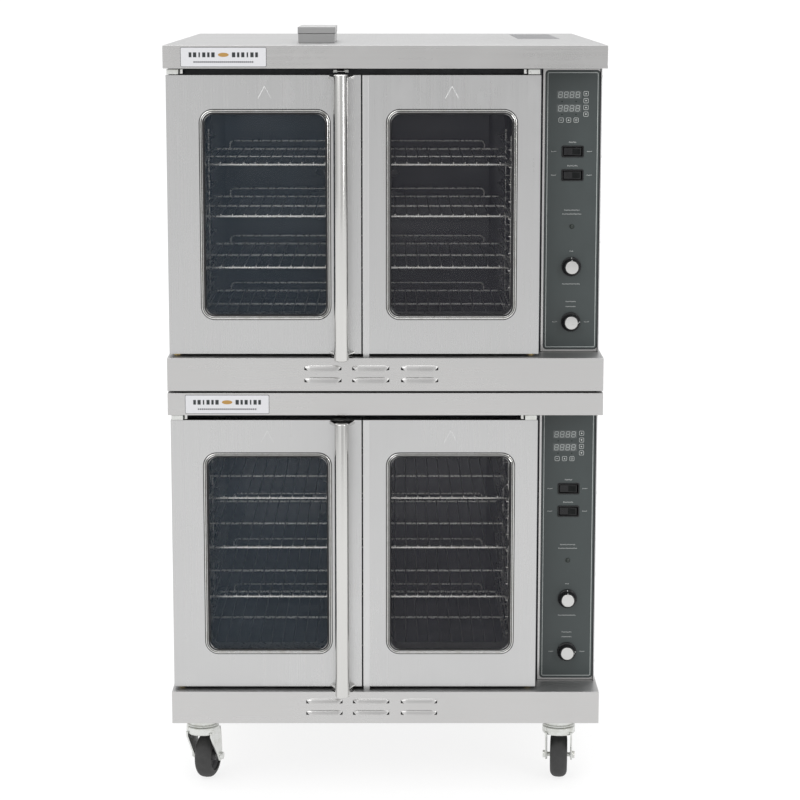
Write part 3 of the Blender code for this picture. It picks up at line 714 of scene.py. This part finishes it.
def badge(deck):
    """A plate on the fascia's left end, with plain bars and an oval where a name would be."""
    low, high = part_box(f"{deck}_top_cover")
    front = low.y
    x = (low.x + BADGE_X[0], low.x + BADGE_X[1])
    z = (low.z + 4.5 * MM, high.z - 5.0 * MM)
    tall = z[1] - z[0]
    middle = sum(x) / 2
    plate = Build().plate(rounded(x, z, 0.002, 3), layer(front, (1.2, -0.1)))
    plate.finish(f"{deck}_badge_plate", BADGE_FACE, "brushed_stainless", bevel=0.3)
    # A black band round the plate: painted shade along the raised plate's edge.
    rim = Build().ring(x, z, 0.002, front, ((-0.9, 0.1), (-0.9, -0.5), (0.1, -0.5), (0.1, 0.1)), 3)
    rim.finish(f"{deck}_badge_edge_shade", GASKET_AND_SHADE, "brushed_stainless")
    bars = Build()
    depth = layer(front, (1.32, 1.1))
    level = z[0] + tall * 0.62
    for side in (-1, 1):
        for i, width in enumerate((7.4, 5.2, 7.0, 3.2, 7.2, 6.0)):
            across = middle + side * (0.0225 + 0.0100 * i)
            bars.box(span(across, width * MM), depth, span(level, 10.6 * MM))
    fine_level = z[0] + tall * 0.24
    for i in range(30):
        across = middle + (i - 14.5) * 4.4 * MM
        bars.box(span(across, 2.7 * MM), depth, span(fine_level, 3.4 * MM))
    bars.finish(f"{deck}_badge_bars", INK_DARK_AND_SHADOW, "brushed_stainless")
    spot = Build().turned(((0.3, -0.4), (9, -0.4), (9, 0), (0.3, 0)), (0, 0, 0), (0, 1, 0))
    oval = Matrix.Diagonal((1.3, 1, 0.5, 1))
    spot.move(Matrix.Translation((middle, front - 1.0 * MM, level)) @ oval)
    spot.finish(f"{deck}_badge_spot", INK_OCHRE, "brushed_stainless")


def louvres(deck):
    """Two rows of pressed hoods, closed at the top and open underneath."""
    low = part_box(f"{deck}_base_pan")[0]
    front = low.y
    hoods = Build()
    for middle_x in LOUVRE_X:
        for middle_z in LOUVRE_Z:
            hoods.loft([hood_section(middle_x + LOUVRE_HALF * along, front, low.z + middle_z, bulge)
                        for along, bulge in LOUVRE_BULGE])
    hoods.finish(f"{deck}_louvre_hoods", STEEL_FLAT, "brushed_stainless", angle=50)


def hood_section(x, front, z, bulge):
    """One section across a hood; the bulge goes from 0 at its ends to 1 in the middle."""
    reach = 4.0 * bulge + 0.2
    top = 4.0 + 3.2 * bulge
    mouth = 3.6 - 10.2 * bulge
    section = (
        (0.2, top),
        (-reach * 0.45, top - 1.5 * bulge),
        (-reach * 0.85, top - 5.0 * bulge),
        (-reach, mouth + 1.2 * bulge),
        (-reach, mouth),
        (-reach + 0.9 * bulge, mouth),
        (-reach * 0.7 + 0.6 * bulge, top - 5.2 * bulge),
        (0.25, top - 1.4 * bulge),
    )
    return [Vector((x, front + back * MM, z + rise * MM)) for back, rise in section]


def casing_screws(deck):
    low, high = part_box(f"{deck}_body_shell")
    heads = Build()
    middle_y = (low.y + high.y) / 2
    for side, x in ((-1, low.x), (1, high.x)):
        for y in (low.y + 0.020, middle_y, high.y - 0.020):
            places = (0.06, 0.90) if y == middle_y else (0.06, 0.36, 0.64, 0.90)
            for z in shares(low.z, high.z, places):
                screw(heads, (x, y, z), (side, 0, 0))
    for x in shares(low.x, high.x, (0.03, 0.27, 0.5, 0.73, 0.97)):
        for z in shares(low.z, high.z, (0.05, 0.90)):
            screw(heads, (x, high.y, z), (0, 1, 0))
    cover_low, cover_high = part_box(f"{deck}_top_cover")
    level = (cover_low.z + cover_high.z) / 2
    for side, x in ((-1, cover_low.x), (1, cover_high.x)):
        for y in shares(cover_low.y, cover_high.y, (0.12, 0.5, 0.88)):
            screw(heads, (x - side * 1.6 * MM, y, level), (side, 0, 0), rise=1.4)
    heads.finish(f"{deck}_casing_screws", ZINC, "brushed_stainless", angle=40)


def back_cover(deck):
    """A pressed access cover over the fan motor, black plates as painted shade for its cooling
    slots, and the supply grommet.
    """
    low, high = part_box(f"{deck}_body_shell")
    back = high.y
    proud = 3.4 * MM
    step = 0.014
    x = span(MOTOR_X, BACK_COVER_SIZE)
    z = span(low.z + 0.305, BACK_COVER_SIZE)
    inner_x, inner_z = inset(x, step), inset(z, step)
    cover = Build()
    cover.plate(rounded(x, z, 0.012, 5), (back + 0.2 * MM, back + proud * 0.5))
    cover.plate(rounded(inner_x, inner_z, 0.010, 5), (back + proud * 0.4, back + proud))
    cover.finish(f"{deck}_motor_cover", STEEL_SIDE, "brushed_stainless", bevel=0.5)
    # The cooling slots are black plates on the cover's face, not openings: painted shade where the
    # dark inside would show.
    slots = Build()
    depth = (back + proud - 0.3 * MM, back + proud + 0.15 * MM)
    for row in range(9):
        level = inner_z[0] + 0.035 + row * 0.033
        for column in (-1, 1):
            across = span(MOTOR_X + column * 0.078, 0.120)
            slots.plate(rounded(across, span(level, 0.007), 0.0034, 4), depth)
    slots.finish(f"{deck}_motor_cover_slot_shade", SPACER_AND_SHADE, "spacer_black")
    heads = Build()
    for screw_x in inset(x, step / 2):
        for screw_z in shares(z[0], z[1], (0.03, 0.5, 0.97)):
            screw(heads, (screw_x, back + proud * 0.5, screw_z), (0, 1, 0), 3.5, 1.6)
    heads.finish(f"{deck}_motor_cover_screws", ZINC, "zinc_plate", angle=40)
    grommet = ((12.5, -4), (16.5, -4), (16.5, -0.4), (20.0, 0.3), (20.0, 1.6), (18.5, 3.0),
               (14.0, 3.2), (12.5, 2.0))
    ring = Build().turned(grommet, (SUPPLY_X, back, low.z + SUPPLY_RISE), (0, 1, 0), 40, True)
    ring.finish(f"{deck}_supply_grommet", GASKET_AND_SHADE, "spacer_black", angle=40)


def roof():
    low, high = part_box("upper_top_cover")
    # The vent and its lid take the darker copy of the steel: painted shade.
    refined("flue_vent", STEEL_VENT_SHADE, "brushed_stainless", 0.8)
    vent_low, vent_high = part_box("flue_vent")
    lid_x = (vent_low.x - 1.2 * MM, vent_high.x + 1.2 * MM)
    lid_y = (vent_low.y - 1.2 * MM, vent_high.y - 0.4 * MM)
    lid_bottom = vent_high.z - 14.5 * MM
    lid = Build().box(lid_x, lid_y, (lid_bottom, vent_high.z - 0.3 * MM))
    lid.finish("flue_vent_lid", STEEL_VENT_SHADE, "brushed_stainless", bevel=0.6)
    # A black strip just under the lid's lower edge: painted shadow cast by the lid.
    seam = Build().box(inset(lid_x, 0.4 * MM), (lid_y[0] + 0.4 * MM, lid_y[1]),
                       (lid_bottom - 0.9 * MM, lid_bottom))
    seam.finish("flue_vent_lid_shadow", SPACER_AND_SHADE, "spacer_black")
    # The access plate is solid; its darker steel is painted shade for a fine perforation.
    y = (low.y + ROOF_PLATE_Y[0], low.y + ROOF_PLATE_Y[1])
    plate = Build().box(ROOF_PLATE_X, y, (high.z - 0.1 * MM, high.z + 0.5 * MM))
    plate.finish("roof_access_plate", STEEL_DARK, "brushed_stainless", bevel=0.2)
    heads = Build()
    for screw_x in inset(ROOF_PLATE_X, 0.010):
        for screw_y in inset(y, 0.012):
            screw(heads, (screw_x, screw_y, high.z + 0.4 * MM), (0, 0, 1), 3, 0.6)
    heads.finish("roof_plate_screws", STEEL_DARK, "brushed_stainless", angle=40)
    refined("stacking_spacer", SPACER_AND_SHADE, "spacer_black", 0.4)


# ---- doors


def door(deck, side):
    body = f"{deck}_{side}_door"
    low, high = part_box(body)
    pane_low, pane_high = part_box(f"{deck}_{side}_window")
    front = low.y
    refined(body, STEEL_DOOR, "brushed_stainless", 1.5, 3)
    glass = frame["nodes"][f"{deck}_{side}_window"]
    # Left and right doors take differently tinted copies of the glass: painted reflection.
    glass.data.materials.clear()
    glass.data.materials.append(GLASS_LEFT if side == "left" else GLASS_RIGHT)
    x = inset((pane_low.x, pane_high.x), -TRIM_MARGIN)
    z = inset((pane_low.z, pane_high.z), -TRIM_MARGIN)

    def moulding(*profiles):
        made = Build()
        for profile in profiles:
            made.ring(x, z, TRIM_RADIUS, front, profile, 10)
        return made

    moulding(TRIM_PROFILE).finish(
        f"{body}_window_trim", CHROME, "bright_stainless", body, angle=40)
    # Black lines in the trim's groove and round its outer edge: painted shade and painted shadow.
    moulding(*TRIM_SHADE_PROFILES).finish(f"{body}_trim_shade_lines", GASKET_AND_SHADE, "spacer_black", body)
    moulding(WINDOW_SEAL_PROFILE).finish(
        f"{body}_window_gasket", GASKET_AND_SHADE, "spacer_black", body, angle=50)
    if side == "right":
        fold_strip(deck, body, low)
    chevron(body, front, sum(x) / 2, high.z - 0.048)
    hinge_details(deck, side, low, high)


def fold_strip(deck, body, low):
    """The folded edge of the right door, beside the handle; its tilted face catches light, and its
    lighter steel is a painted highlight.
    """
    front = low.y
    near = low.x + 1.2 * MM
    far = low.x + 14.5 * MM
    fold = ((near, 0.2), (near, -0.1), (far - 2 * MM, -0.7), (far, -0.2), (far, 0.2))
    ends = (low.z + 1.5 * MM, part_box(f"{deck}_door_handle")[1].z - 5 * MM)
    strip = Build().loft([[Vector((px, front + back * MM, level)) for px, back in fold]
                          for level in ends])
    strip.finish(f"{body}_fold_strip", STEEL_HIGHLIGHT, "brushed_stainless", body, angle=20)


def chevron(body, front, middle, level):
    """A plain embossed peak above the window; its strokes take a lighter copy of the door steel, a
    painted highlight.
    """
    mark = Build()
    depth = front + 0.15 * MM
    for sign in (-1, 1):
        foot = (middle + sign * 0.0145, depth, level - 0.013)
        mark.tube(((middle, depth, level + 0.013), foot), 0.75 * MM)
    mark.finish(f"{body}_chevron", STEEL_HIGHLIGHT, "brushed_stainless", body)


def hinge_details(deck, side, low, high):
    """Brass bush under the door's pin, a stud beside it and a plate on its top bracket."""
    outward, pin_x = (-1, low.x + PIN_INSET) if side == "left" else (1, high.x - PIN_INSET)
    pin_y = low.y + PIN_DEPTH
    base_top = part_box(f"{deck}_base_pan")[1].z
    cover_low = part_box(f"{deck}_top_cover")[0]
    under = cover_low.z
    bush = ((5.6, 0.2), (9.0, 0.2), (9.0, 1.4), (7.2, 1.8), (7.2, 5.2), (5.6, 5.2))
    Build().turned(bush, (pin_x, pin_y, base_top), (0, 0, 1), 28, True).finish(
        f"{deck}_{side}_hinge_bush", BRASS, "zinc_plate", angle=40)
    plate = Build().box(span(pin_x + outward * 1.0 * MM, 0.026),
                        (cover_low.y + 0.012, pin_y - 8 * MM),
                        (under - 12.6 * MM, under - 2.0 * MM))
    plate.finish(f"{deck}_{side}_hinge_plate", ZINC, "zinc_plate", bevel=0.8)
    stud = ((0.3, 0), (3.6, 0), (4.2, 0.8), (4.2, 9.4), (0.3, 10))
    foot = (pin_x - outward * 18 * MM, cover_low.y + 0.022, under - 11.6 * MM)
    Build().turned(stud, foot, (0, 0, 1), 20).finish(
        f"{deck}_{side}_hinge_stud", CHROME, "zinc_plate", angle=40)


def handle(deck):
    """Bright tube with domed ends on two flared brackets."""
    body = f"{deck}_left_door"
    low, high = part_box(f"{deck}_door_handle")
    centre_x = (low.x + high.x) / 2
    centre_y = low.y + HANDLE_RADIUS * MM
    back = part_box(body)[0].y - 0.3 * MM
    length = (high.z - low.z) / MM
    round_radius, round_rise = 5, 3.2
    core = HANDLE_RADIUS - round_radius
    quarter = [pi / 2 * i / 6 for i in range(7)]
    profile = [(0.2, 0)]
    profile += [(core + round_radius * sin(angle), round_rise * (1 - cos(angle)))
                for angle in quarter]
    profile += [(core + round_radius * cos(angle), length - round_rise * (1 - sin(angle)))
                for angle in quarter]
    profile.append((0.2, length))
    Build().turned(profile, (centre_x, centre_y, low.z), (0, 0, 1), 64).finish(
        f"{deck}_handle_tube", STEEL_HANDLE, "bright_stainless", body, angle=50,
        nodes=(f"{deck}_door_handle",))
    brackets = Build()
    narrow, wide = 0.0270, 0.0570
    for middle in inset((low.z, high.z), 0.0088):
        rings = []
        for i in range(9):
            share = i / 8
            depth = centre_y + (back - centre_y) * share
            width = narrow + (wide - narrow) * share ** 1.6
            outline = rounded(span(centre_x, width), span(middle, 0.0098), 0.003, 3)
            rings.append(facing(outline, depth))
        brackets.loft(rings)
    brackets.finish(f"{deck}_handle_brackets", STEEL_HANDLE, "bright_stainless", body, angle=50)


def door_catch(deck):
    """Roller catch between the doors, at the top of the opening."""
    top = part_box(f"{deck}_cavity_liner")[1].z
    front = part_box(f"{deck}_top_cover")[0].y
    block = Build().box(span(CATCH_X, 0.034), (front + 0.060, front + 0.0948),
                        (top - 0.0085, top - 0.0015))
    block.finish(f"{deck}_catch_block", ZINC, "zinc_plate", bevel=0.8)
    roller = ((0.2, -8), (4.2, -8), (4.2, 8), (0.2, 8))
    Build().turned(roller, (CATCH_X, front + 0.052, top - 0.005), (1, 0, 0), 24).finish(
        f"{deck}_catch_roller", CHROME, "zinc_plate", bevel=0.6)


def door_seal(deck):
    """A round bulb seal on the face frame, round the cavity's mouth."""
    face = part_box(f"{deck}_top_cover")[0].y + FACE_DEPTH
    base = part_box(f"{deck}_base_pan")[0].z
    x = inset(CAVITY_X, -0.016)
    z = inset((base + CAVITY_RISE[0], base + CAVITY_RISE[1]), -0.016)
    profile = []
    for i in range(12):
        angle = 2 * pi * i / 12
        profile.append((5 - 4.2 * cos(angle), -4.4 + 4.1 * sin(angle)))
    Build().ring(x, z, 0.020, face, profile).finish(
        f"{deck}_door_seal", GASKET_AND_SHADE, "spacer_black", angle=60)


# ---- control panel


def control_panel(deck):
    refined(f"{deck}_control_panel", STEEL_FLAT, "slate_panel", 0.8)
    low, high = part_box(f"{deck}_control_panel")
    front = low.y
    x = (low.x + 7.0 * MM, high.x - 1.2 * MM)
    z = (low.z + 6.2 * MM, high.z - 5.5 * MM)
    overlay_sheet(deck, x, z, front)

    def level(share):
        """The height at a share of the sheet's height, down from its top."""
        return z[1] - (z[1] - z[0]) * share

    line = ((3.6, -0.7), (3.6, -0.95), (4.8, -0.95), (4.8, -0.7))
    Build().ring(x, z, SHEET_RADIUS, front, line).finish(
        f"{deck}_panel_line", INK_SILVER, "slate_panel")
    # A black band round the overlay's edge: painted shadow of the raised sheet.
    rim = ((-1.6, 0.1), (-1.6, -1.1), (0.2, -1.1), (0.2, 0.1))
    Build().ring(x, z, SHEET_RADIUS, front, rim).finish(
        f"{deck}_panel_edge_shadow", INK_DARK_AND_SHADOW, "slate_panel", bevel=0.3)
    displays(deck, x, level, front)
    marks = Build()
    keypad(marks, x, level, front)
    centre = (PANEL_MIDDLE,)
    ends = (x[0] + 0.019, x[1] - 0.021)
    for middles, height, words in (
        (centre, 3.0, ((0.254, 0.016), (0.338, 0.022))),
        (ends, 1.8, ((0.287, 0.011), (0.3715, 0.011))),
        (centre, 2.1, ((0.497, 0.036), (0.511, 0.044), (0.645, 0.010), (0.764, 0.042),
                       (0.828, 0.022), (0.846, 0.024))),
        (span(PANEL_MIDDLE, 0.072), 1.6, ((0.902, 0.011),)),
    ):
        for share, width in words:
            for middle in middles:
                label(marks, middle, level(share), width, front, height * MM)
    marks.finish(f"{deck}_panel_marks", INK_WHITE, "slate_panel")
    lamp = ((0.3, -3.6), (2.6, -3.3), (4.2, -2.2), (4.6, -1.2), (5.6, -1.2), (5.6, 0), (0.3, 0))
    Build().turned(lamp, (PANEL_MIDDLE, front - 0.7 * MM, level(0.556)), (0, 1, 0), 28).finish(
        f"{deck}_indicator_lamp", LAMP, "black_plastic", angle=40)


def overlay_sheet(deck, x, z, front):
    """The slate overlay sheet, in strips round the two switch openings."""
    fan_low, fan_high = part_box(f"{deck}_fan_switch")
    light_low, light_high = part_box(f"{deck}_light_switch")
    sheet = Build()
    depth = layer(front, SHEET_LAYER)
    hole_x = span(PANEL_MIDDLE, 0.0440)
    fan_z = span((fan_low.z + fan_high.z) / 2, 0.020)
    light_z = span((light_low.z + light_high.z) / 2, 0.020)
    near_x, far_x = inset(x, SHEET_RADIUS)
    low_z, high_z = inset(z, SHEET_RADIUS)
    top = [(x[0], fan_z[1]), (x[1], fan_z[1])]
    top += arc(far_x, high_z, SHEET_RADIUS, 0, 5) + arc(near_x, high_z, SHEET_RADIUS, 90, 5)
    sheet.plate(top, depth)
    bottom = [(x[1], light_z[0]), (x[0], light_z[0])]
    bottom += arc(near_x, low_z, SHEET_RADIUS, 180, 5) + arc(far_x, low_z, SHEET_RADIUS, 270, 5)
    sheet.plate(bottom, depth)
    for strip_x in ((x[0], hole_x[0]), (hole_x[1], x[1])):
        sheet.box(strip_x, depth, (light_z[0], fan_z[1]))
    sheet.box(hole_x, depth, (light_z[1], fan_z[0]))
    sheet.finish(f"{deck}_panel_overlay", SLATE, "slate_panel")


def label(build, middle, level, width, front, height):
    """A generic mark in place of a printed word: a row of plain short strokes."""
    pitch = 2.9 * MM
    count = max(2, round(width / pitch))
    depth = layer(front, PRINT_LAYER)
    for i in range(count):
        start = middle + (i - count / 2) * pitch
        tall = height * (1.0, 0.8, 1.0, 0.7)[i % 4]
        build.box((start, start + 0.75 * MM), depth, span(level, tall))
        bar = level + tall * (0.36, -0.36, 0.0)[i % 3]
        build.box((start, start + 2.1 * MM), depth, span(bar, 0.8 * MM))


def displays(deck, x, level, front):
    """Two rows of four seven-segment digits behind dark windows, and four small lamps."""
    windows = Build()
    digits = Build()
    width = x[1] - x[0]
    start = x[0] + width * 0.215
    end = x[0] + width * 0.645
    pitch = (end - start) / 4
    for share in (0.085, 0.133):
        middle = level(share)
        outline = rounded((start - 1.5 * MM, end + 1.5 * MM), span(middle, 0.0175), 0.0012, 3)
        windows.plate(outline, layer(front, PRINT_LAYER))
        for i in range(4):
            digit(digits, start + pitch * (i + 0.5), middle, pitch * 0.62, 0.0125, front)
    windows.finish(f"{deck}_display_windows", DISPLAY, "slate_panel")
    digits.finish(f"{deck}_display_digits", SEGMENT, "slate_panel")
    dots = Build()
    for share in (0.109, 0.155):
        for place in (0.30, 0.56):
            spot = (x[0] + width * place, front - 0.95 * MM, level(share))
            dots.turned(((1.5, -0.3), (1.5, 0.3)), spot, (0, 1, 0), 14)
    dots.finish(f"{deck}_display_lamps", LAMP, "slate_panel", bevel=0.15)


def digit(build, middle, level, width, height, front):
    """Seven pointed bars, leaning a little to the right."""
    thick = 1.25 * MM
    lean = 0.10
    half_w = width / 2
    half_h = height / 2
    bars = [((0, half_h), True), ((0, 0), True), ((0, -half_h), True)]
    bars += [((sx * half_w, sz * half_h / 2), False) for sx in (-1, 1) for sz in (-1, 1)]
    for (dx, dz), flat in bars:
        length = (width if flat else half_h) * 0.46
        along = Vector((1, 0)) if flat else Vector((lean, 1))
        across = (Vector((0, 1)) if flat else Vector((1, 0))) * thick / 2
        centre = Vector((middle + dx + dz * lean, level + dz))
        tip = along * length
        shoulder = along * (length - thick / 2)
        outline = [centre - tip, centre - shoulder - across, centre + shoulder - across,
                   centre + tip, centre + shoulder + across, centre - shoulder + across]
        build.plate([(p.x, p.y) for p in outline], layer(front, SEGMENT_LAYER))


def keypad(build, x, level, front):
    """Four arrow keys in a column and three square keys in a row, as raised outlines."""
    width = x[1] - x[0]
    depth = layer(front, KEY_LAYER)

    def outlined(middle_x, middle_z, size, radius, line):
        top, bottom = KEY_LAYER
        profile = ((0, -bottom), (0, -top), (line, -top), (line, -bottom))
        build.ring(span(middle_x, size), span(middle_z, size), radius, front, profile, 4)

    def key(middle_x, middle_z):
        outlined(middle_x, middle_z, 0.0108, 0.0024, 0.75)

    def triangle(middle_x, middle_z, sign):
        size = 2.1 * MM
        foot = middle_z - sign * size * 0.7
        build.plate([(middle_x - size, foot), (middle_x + size, foot),
                     (middle_x, middle_z + sign * size)], depth)

    column = x[0] + width * 0.745
    for share, sign in ((0.081, 1), (0.106, -1), (0.130, 1), (0.154, -1)):
        key(column, level(share))
        triangle(column, level(share), sign)
    row = level(0.175)
    minus, arrow, square = (x[0] + width * place for place in (0.285, 0.425, 0.565))
    for middle_x in (minus, arrow, square):
        key(middle_x, row)
    build.box(span(minus, 3.6 * MM), depth, span(row, 1.0 * MM))
    triangle(arrow, row, 1)
    outlined(square, row, 4.4 * MM, 0.0021, 0.7)


def rocker(deck, name):
    """A rocker with a two-tone face in a black bezel."""
    node = f"{deck}_{name}"
    refined(node, BLACK, "black_plastic", 0.5)
    low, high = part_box(node)
    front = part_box(f"{deck}_control_panel")[0].y
    level = (low.z + high.z) / 2
    profile = ((0, -0.5), (0, -2.6), (0.8, -3.4), (2.6, -3.4), (3.0, -2.8), (3.0, 4), (2.2, 4),
               (2.2, -0.5))
    Build().ring(span(PANEL_MIDDLE, 0.0490), span(level, 0.0255), 0.0025, front, profile, 4).finish(
        f"{node}_bezel", BLACK, "black_plastic", angle=40)
    face = Build().box((0.4 * MM, 17.5 * MM), (-5.3 * MM, -4.0 * MM), span(0, 0.0125))
    pivot = Matrix.Translation((PANEL_MIDDLE, front + 2 * MM, level))
    tilt = Matrix.Rotation(radians(-7), 4, "Z")
    lean = Matrix.Rotation(radians(-7.3), 4, "Z")
    face.move(pivot @ tilt @ Matrix.Translation((0, 1.5 * MM, 0)) @ lean)
    face.finish(f"{node}_face", DARK_GREY, "black_plastic", node, bevel=0.4)


def knob(deck, name, pointer):
    """Skirted knob with grip flutes, a satin metal cap and a white pointer."""
    node = f"{deck}_{name}"
    low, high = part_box(node)
    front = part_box(f"{deck}_control_panel")[0].y
    middle = (low.x + high.x) / 2
    level = (low.z + high.z) / 2
    sides = 72
    rings = []
    for radius, depth, flute in KNOB_PROFILE:
        ring = []
        for i in range(sides):
            angle = 2 * pi * i / sides
            reach = (radius - flute * (1 + cos(24 * angle))) * MM
            ring.append(Vector((middle + reach * cos(angle), front + depth * MM,
                                level + reach * sin(angle))))
        rings.append(ring)
    Build().loft(rings).finish(
        f"{node}_grip", BLACK, "black_plastic", node, angle=35, nodes=(node,))
    cap = ((14.4, -22.0), (14.4, -23.2), (13.7, -23.7), (10.0, -23.95), (0.4, -24.0))
    Build().turned(cap, (middle, front, level), (0, 1, 0), 48).finish(
        f"{node}_cap", CAP_ALUMINIUM, "bright_stainless", node, angle=30)
    tick = Build()
    for heights, reach in (((6.9, 4.6), (18.2, 21.0)), ((23.3, 20.0), (14.9, 16.5))):
        tick.box(span(0, 1.6 * MM), layer(front, heights), (reach[0] * MM, reach[1] * MM))
    turn = Matrix.Rotation(-pointer, 4, "Y")
    tick.move(Matrix.Translation((middle, 0, level)) @ turn)
    tick.finish(f"{node}_pointer", INK_WHITE, "black_plastic", node)


# ---- cavity


def rack(deck, number):
    """Welded wire rack: frame, cross rail, a wire about every 26 mm and a raised back guard."""
    node = f"{deck}_rack_{number}"
    low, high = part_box(node)
    level = (low.z + high.z) / 2
    frame_wires = Build()
    fine_wires = Build()
    rail = 2.9 * MM
    fine = 1.45 * MM
    x = inset((low.x, high.x), rail)
    y = inset((low.y, high.y), rail)
    outline = [(px, py, level) for px, py in rounded(x, y, 0.012, 4)]
    frame_wires.tube(outline, rail, 10, closed=True)
    middle = sum(y) / 2
    frame_wires.tube(((x[0], middle, level), (x[1], middle, level)), rail * 0.9, 10)
    count = round((x[1] - x[0]) / RACK_PITCH)
    pitch = (x[1] - x[0]) / count
    above = level + rail + fine * 0.5
    for i in range(1, count):
        across = x[0] + pitch * i
        for build, near, far in ((fine_wires, y[0] + 2 * MM, y[1] + rail * 0.5),
                                 (frame_wires, y[0] - rail * 0.8, y[0] + 3 * MM)):
            build.tube(((across, near, above), (across, far, above)), fine, 6)
    start, end = inset(x, GUARD_INSET)
    path = [(start, y[1], level)]
    for centre, first in ((start + GUARD_BEND, pi), (end - GUARD_BEND, pi / 2)):
        for i in range(5):
            angle = first - pi / 2 * i / 4
            path.append((centre + GUARD_BEND * cos(angle), y[1],
                         level + GUARD_RISE - GUARD_BEND + GUARD_BEND * sin(angle)))
    path.append((end, y[1], level))
    frame_wires.tube(path, 2.0 * MM)
    frame_wires.finish(f"{node}_wires", WIRE, "wire_chrome", node, angle=60, nodes=(node,))
    # The fine wires take the darker copy of the plating, painted shade; their front stubs keep the
    # bright plating.
    fine_wires.finish(f"{node}_fine_wires", WIRE_FINE_SHADE, "wire_chrome", node, angle=60)


def rack_guide(deck, side):
    """Three uprights and a rail for each rack position, all in plated wire."""
    node = f"{deck}_rack_guide_{side}"
    low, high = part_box(node)
    wall, inward = (low.x, 1) if side == "left" else (high.x, -1)
    wires = Build()
    rail = 2.0 * MM
    spine = wall + inward * 3.2 * MM
    tip = wall + inward * 19.5 * MM
    ys = (low.y + 0.006, (low.y + high.y) / 2, high.y - 0.006)
    for y in ys:
        wires.tube(((spine, y, low.z), (spine, y, high.z)), 2.6 * MM)
    first = low.z + 0.012
    for i in range(GUIDE_COUNT):
        level = first + GUIDE_PITCH * i - rail
        wires.tube(((spine, ys[0], level), (tip, ys[0] + 0.004, level),
                    (tip, ys[2] - 0.004, level), (spine, ys[2], level)), rail)
        wires.tube(((spine, ys[1], level), (tip, ys[1], level)), rail)
    wires.finish(f"{node}_wires", WIRE, "wire_chrome", angle=60, nodes=(node,))


def cavity(deck):
    for side in SIDES:
        rack_guide(deck, side)
    for number in range(1, 5):
        rack(deck, number)
    refined(f"{deck}_fan_baffle", ENAMEL, "dark_enamel", 0.5)
    refined(f"{deck}_fan_wheel", ALUMINISED, "aluminised_steel", 0.3, 1)
    refined(f"{deck}_fan_motor", MOTOR, "cast_motor", 1.2, 2, 40)


# ---- casters


def caster(corner):
    plate = f"caster_plate_{corner}"
    refined(plate, ZINC, "zinc_plate", 0.8)
    refined(f"caster_fork_{corner}", ZINC, "zinc_plate", 0.7, 2, 40)
    joint = {j["name"]: j for j in frame["joints"]}
    kingpin = Vector(joint[f"swivel_{corner}"]["pos_m"])
    hub = Vector(joint[f"roll_{corner}"]["pos_m"])
    axis = Vector(joint[f"roll_{corner}"]["axis"]).normalized()
    wheel(corner, hub, axis)
    plate_low, plate_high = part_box(plate)
    race = ((34.6, 0.4), (36.0, 0.2), (37.2, 1.2), (37.4, 2.6), (36.4, 4.0), (35.2, 4.6),
            (34.6, 4.6))
    Build().turned(race, (kingpin.x, kingpin.y, plate_low.z), (0, 0, 1), 48, True).finish(
        f"caster_race_{corner}", ZINC, "zinc_plate", angle=40)
    bolts = Build()
    head = ((0.4, 0), (6.2, 0), (6.5, 0.6), (6.5, 4), (0.4, 4))
    for bolt_x in inset((plate_low.x, plate_high.x), 0.012):
        for bolt_y in inset((plate_low.y, plate_high.y), 0.014):
            bolts.turned(head, (bolt_x, bolt_y, plate_high.z - 8 * MM), (0, 0, 1), 6)
    bolts.finish(f"caster_bolts_{corner}", ZINC, "zinc_plate", bevel=0.4)
    nuts = Build()
    nut = ((0.3, 0), (8.6, 0), (9.0, 0.7), (9.0, 5.4), (8.4, 6.0), (5.2, 6.1), (5.0, 8.2),
           (0.3, 8.4))
    for side in (-1, 1):
        nuts.turned(nut, hub + axis * (side * 26.6 * MM), axis * side, 6)
    nuts.finish(f"caster_nuts_{corner}", CHROME, "zinc_plate", f"fork_{corner}", bevel=0.3)


def wheel(corner, hub, axis):
    """Crowned tyre with a mould seam, on a dished core."""
    body = f"wheel_{corner}"
    low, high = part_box(f"caster_wheel_{corner}")
    radius = (high.z - low.z) / 2 / MM
    bead = (radius - 17.2, 16.0)
    half = [(radius - drop, -across) for across, drop in TYRE_CROWN]
    tyre = [(bead[0], -bead[1]), bead]
    tyre += [(spoke, -across) for spoke, across in reversed(half)] + half
    Build().turned(tyre, hub, axis, 72, True).finish(
        f"tyre_{corner}", TYRE, "wheel_rubber", body, angle=40, nodes=(f"caster_wheel_{corner}",))
    rim = radius - 17.4
    core = [(5.6, -19.4), (11.0, -19.4), (12.5, -17.5), (14.0, -9.0), (17.0, -7.0),
            (rim - 6, -7.0), (rim - 3, -13.0), (rim + 0.6, -15.0)]
    core += [(spoke, -across) for spoke, across in reversed(core)]
    Build().turned(core, hub, axis, 48, True).finish(
        f"wheel_core_{corner}", HUB, "wheel_rubber", body, angle=40)


# ---- the whole oven

set_camera()
studio()
for deck in DECKS:
    casing(deck)
    for side in SIDES:
        door(deck, side)
    handle(deck)
    door_catch(deck)
    door_seal(deck)
    control_panel(deck)
    rocker(deck, "fan_switch")
    rocker(deck, "light_switch")
    knob(deck, "thermostat_knob", 0.0)
    knob(deck, "power_knob", radians(-90))
    cavity(deck)
roof()
for corner in CORNERS:
    caster(corner)
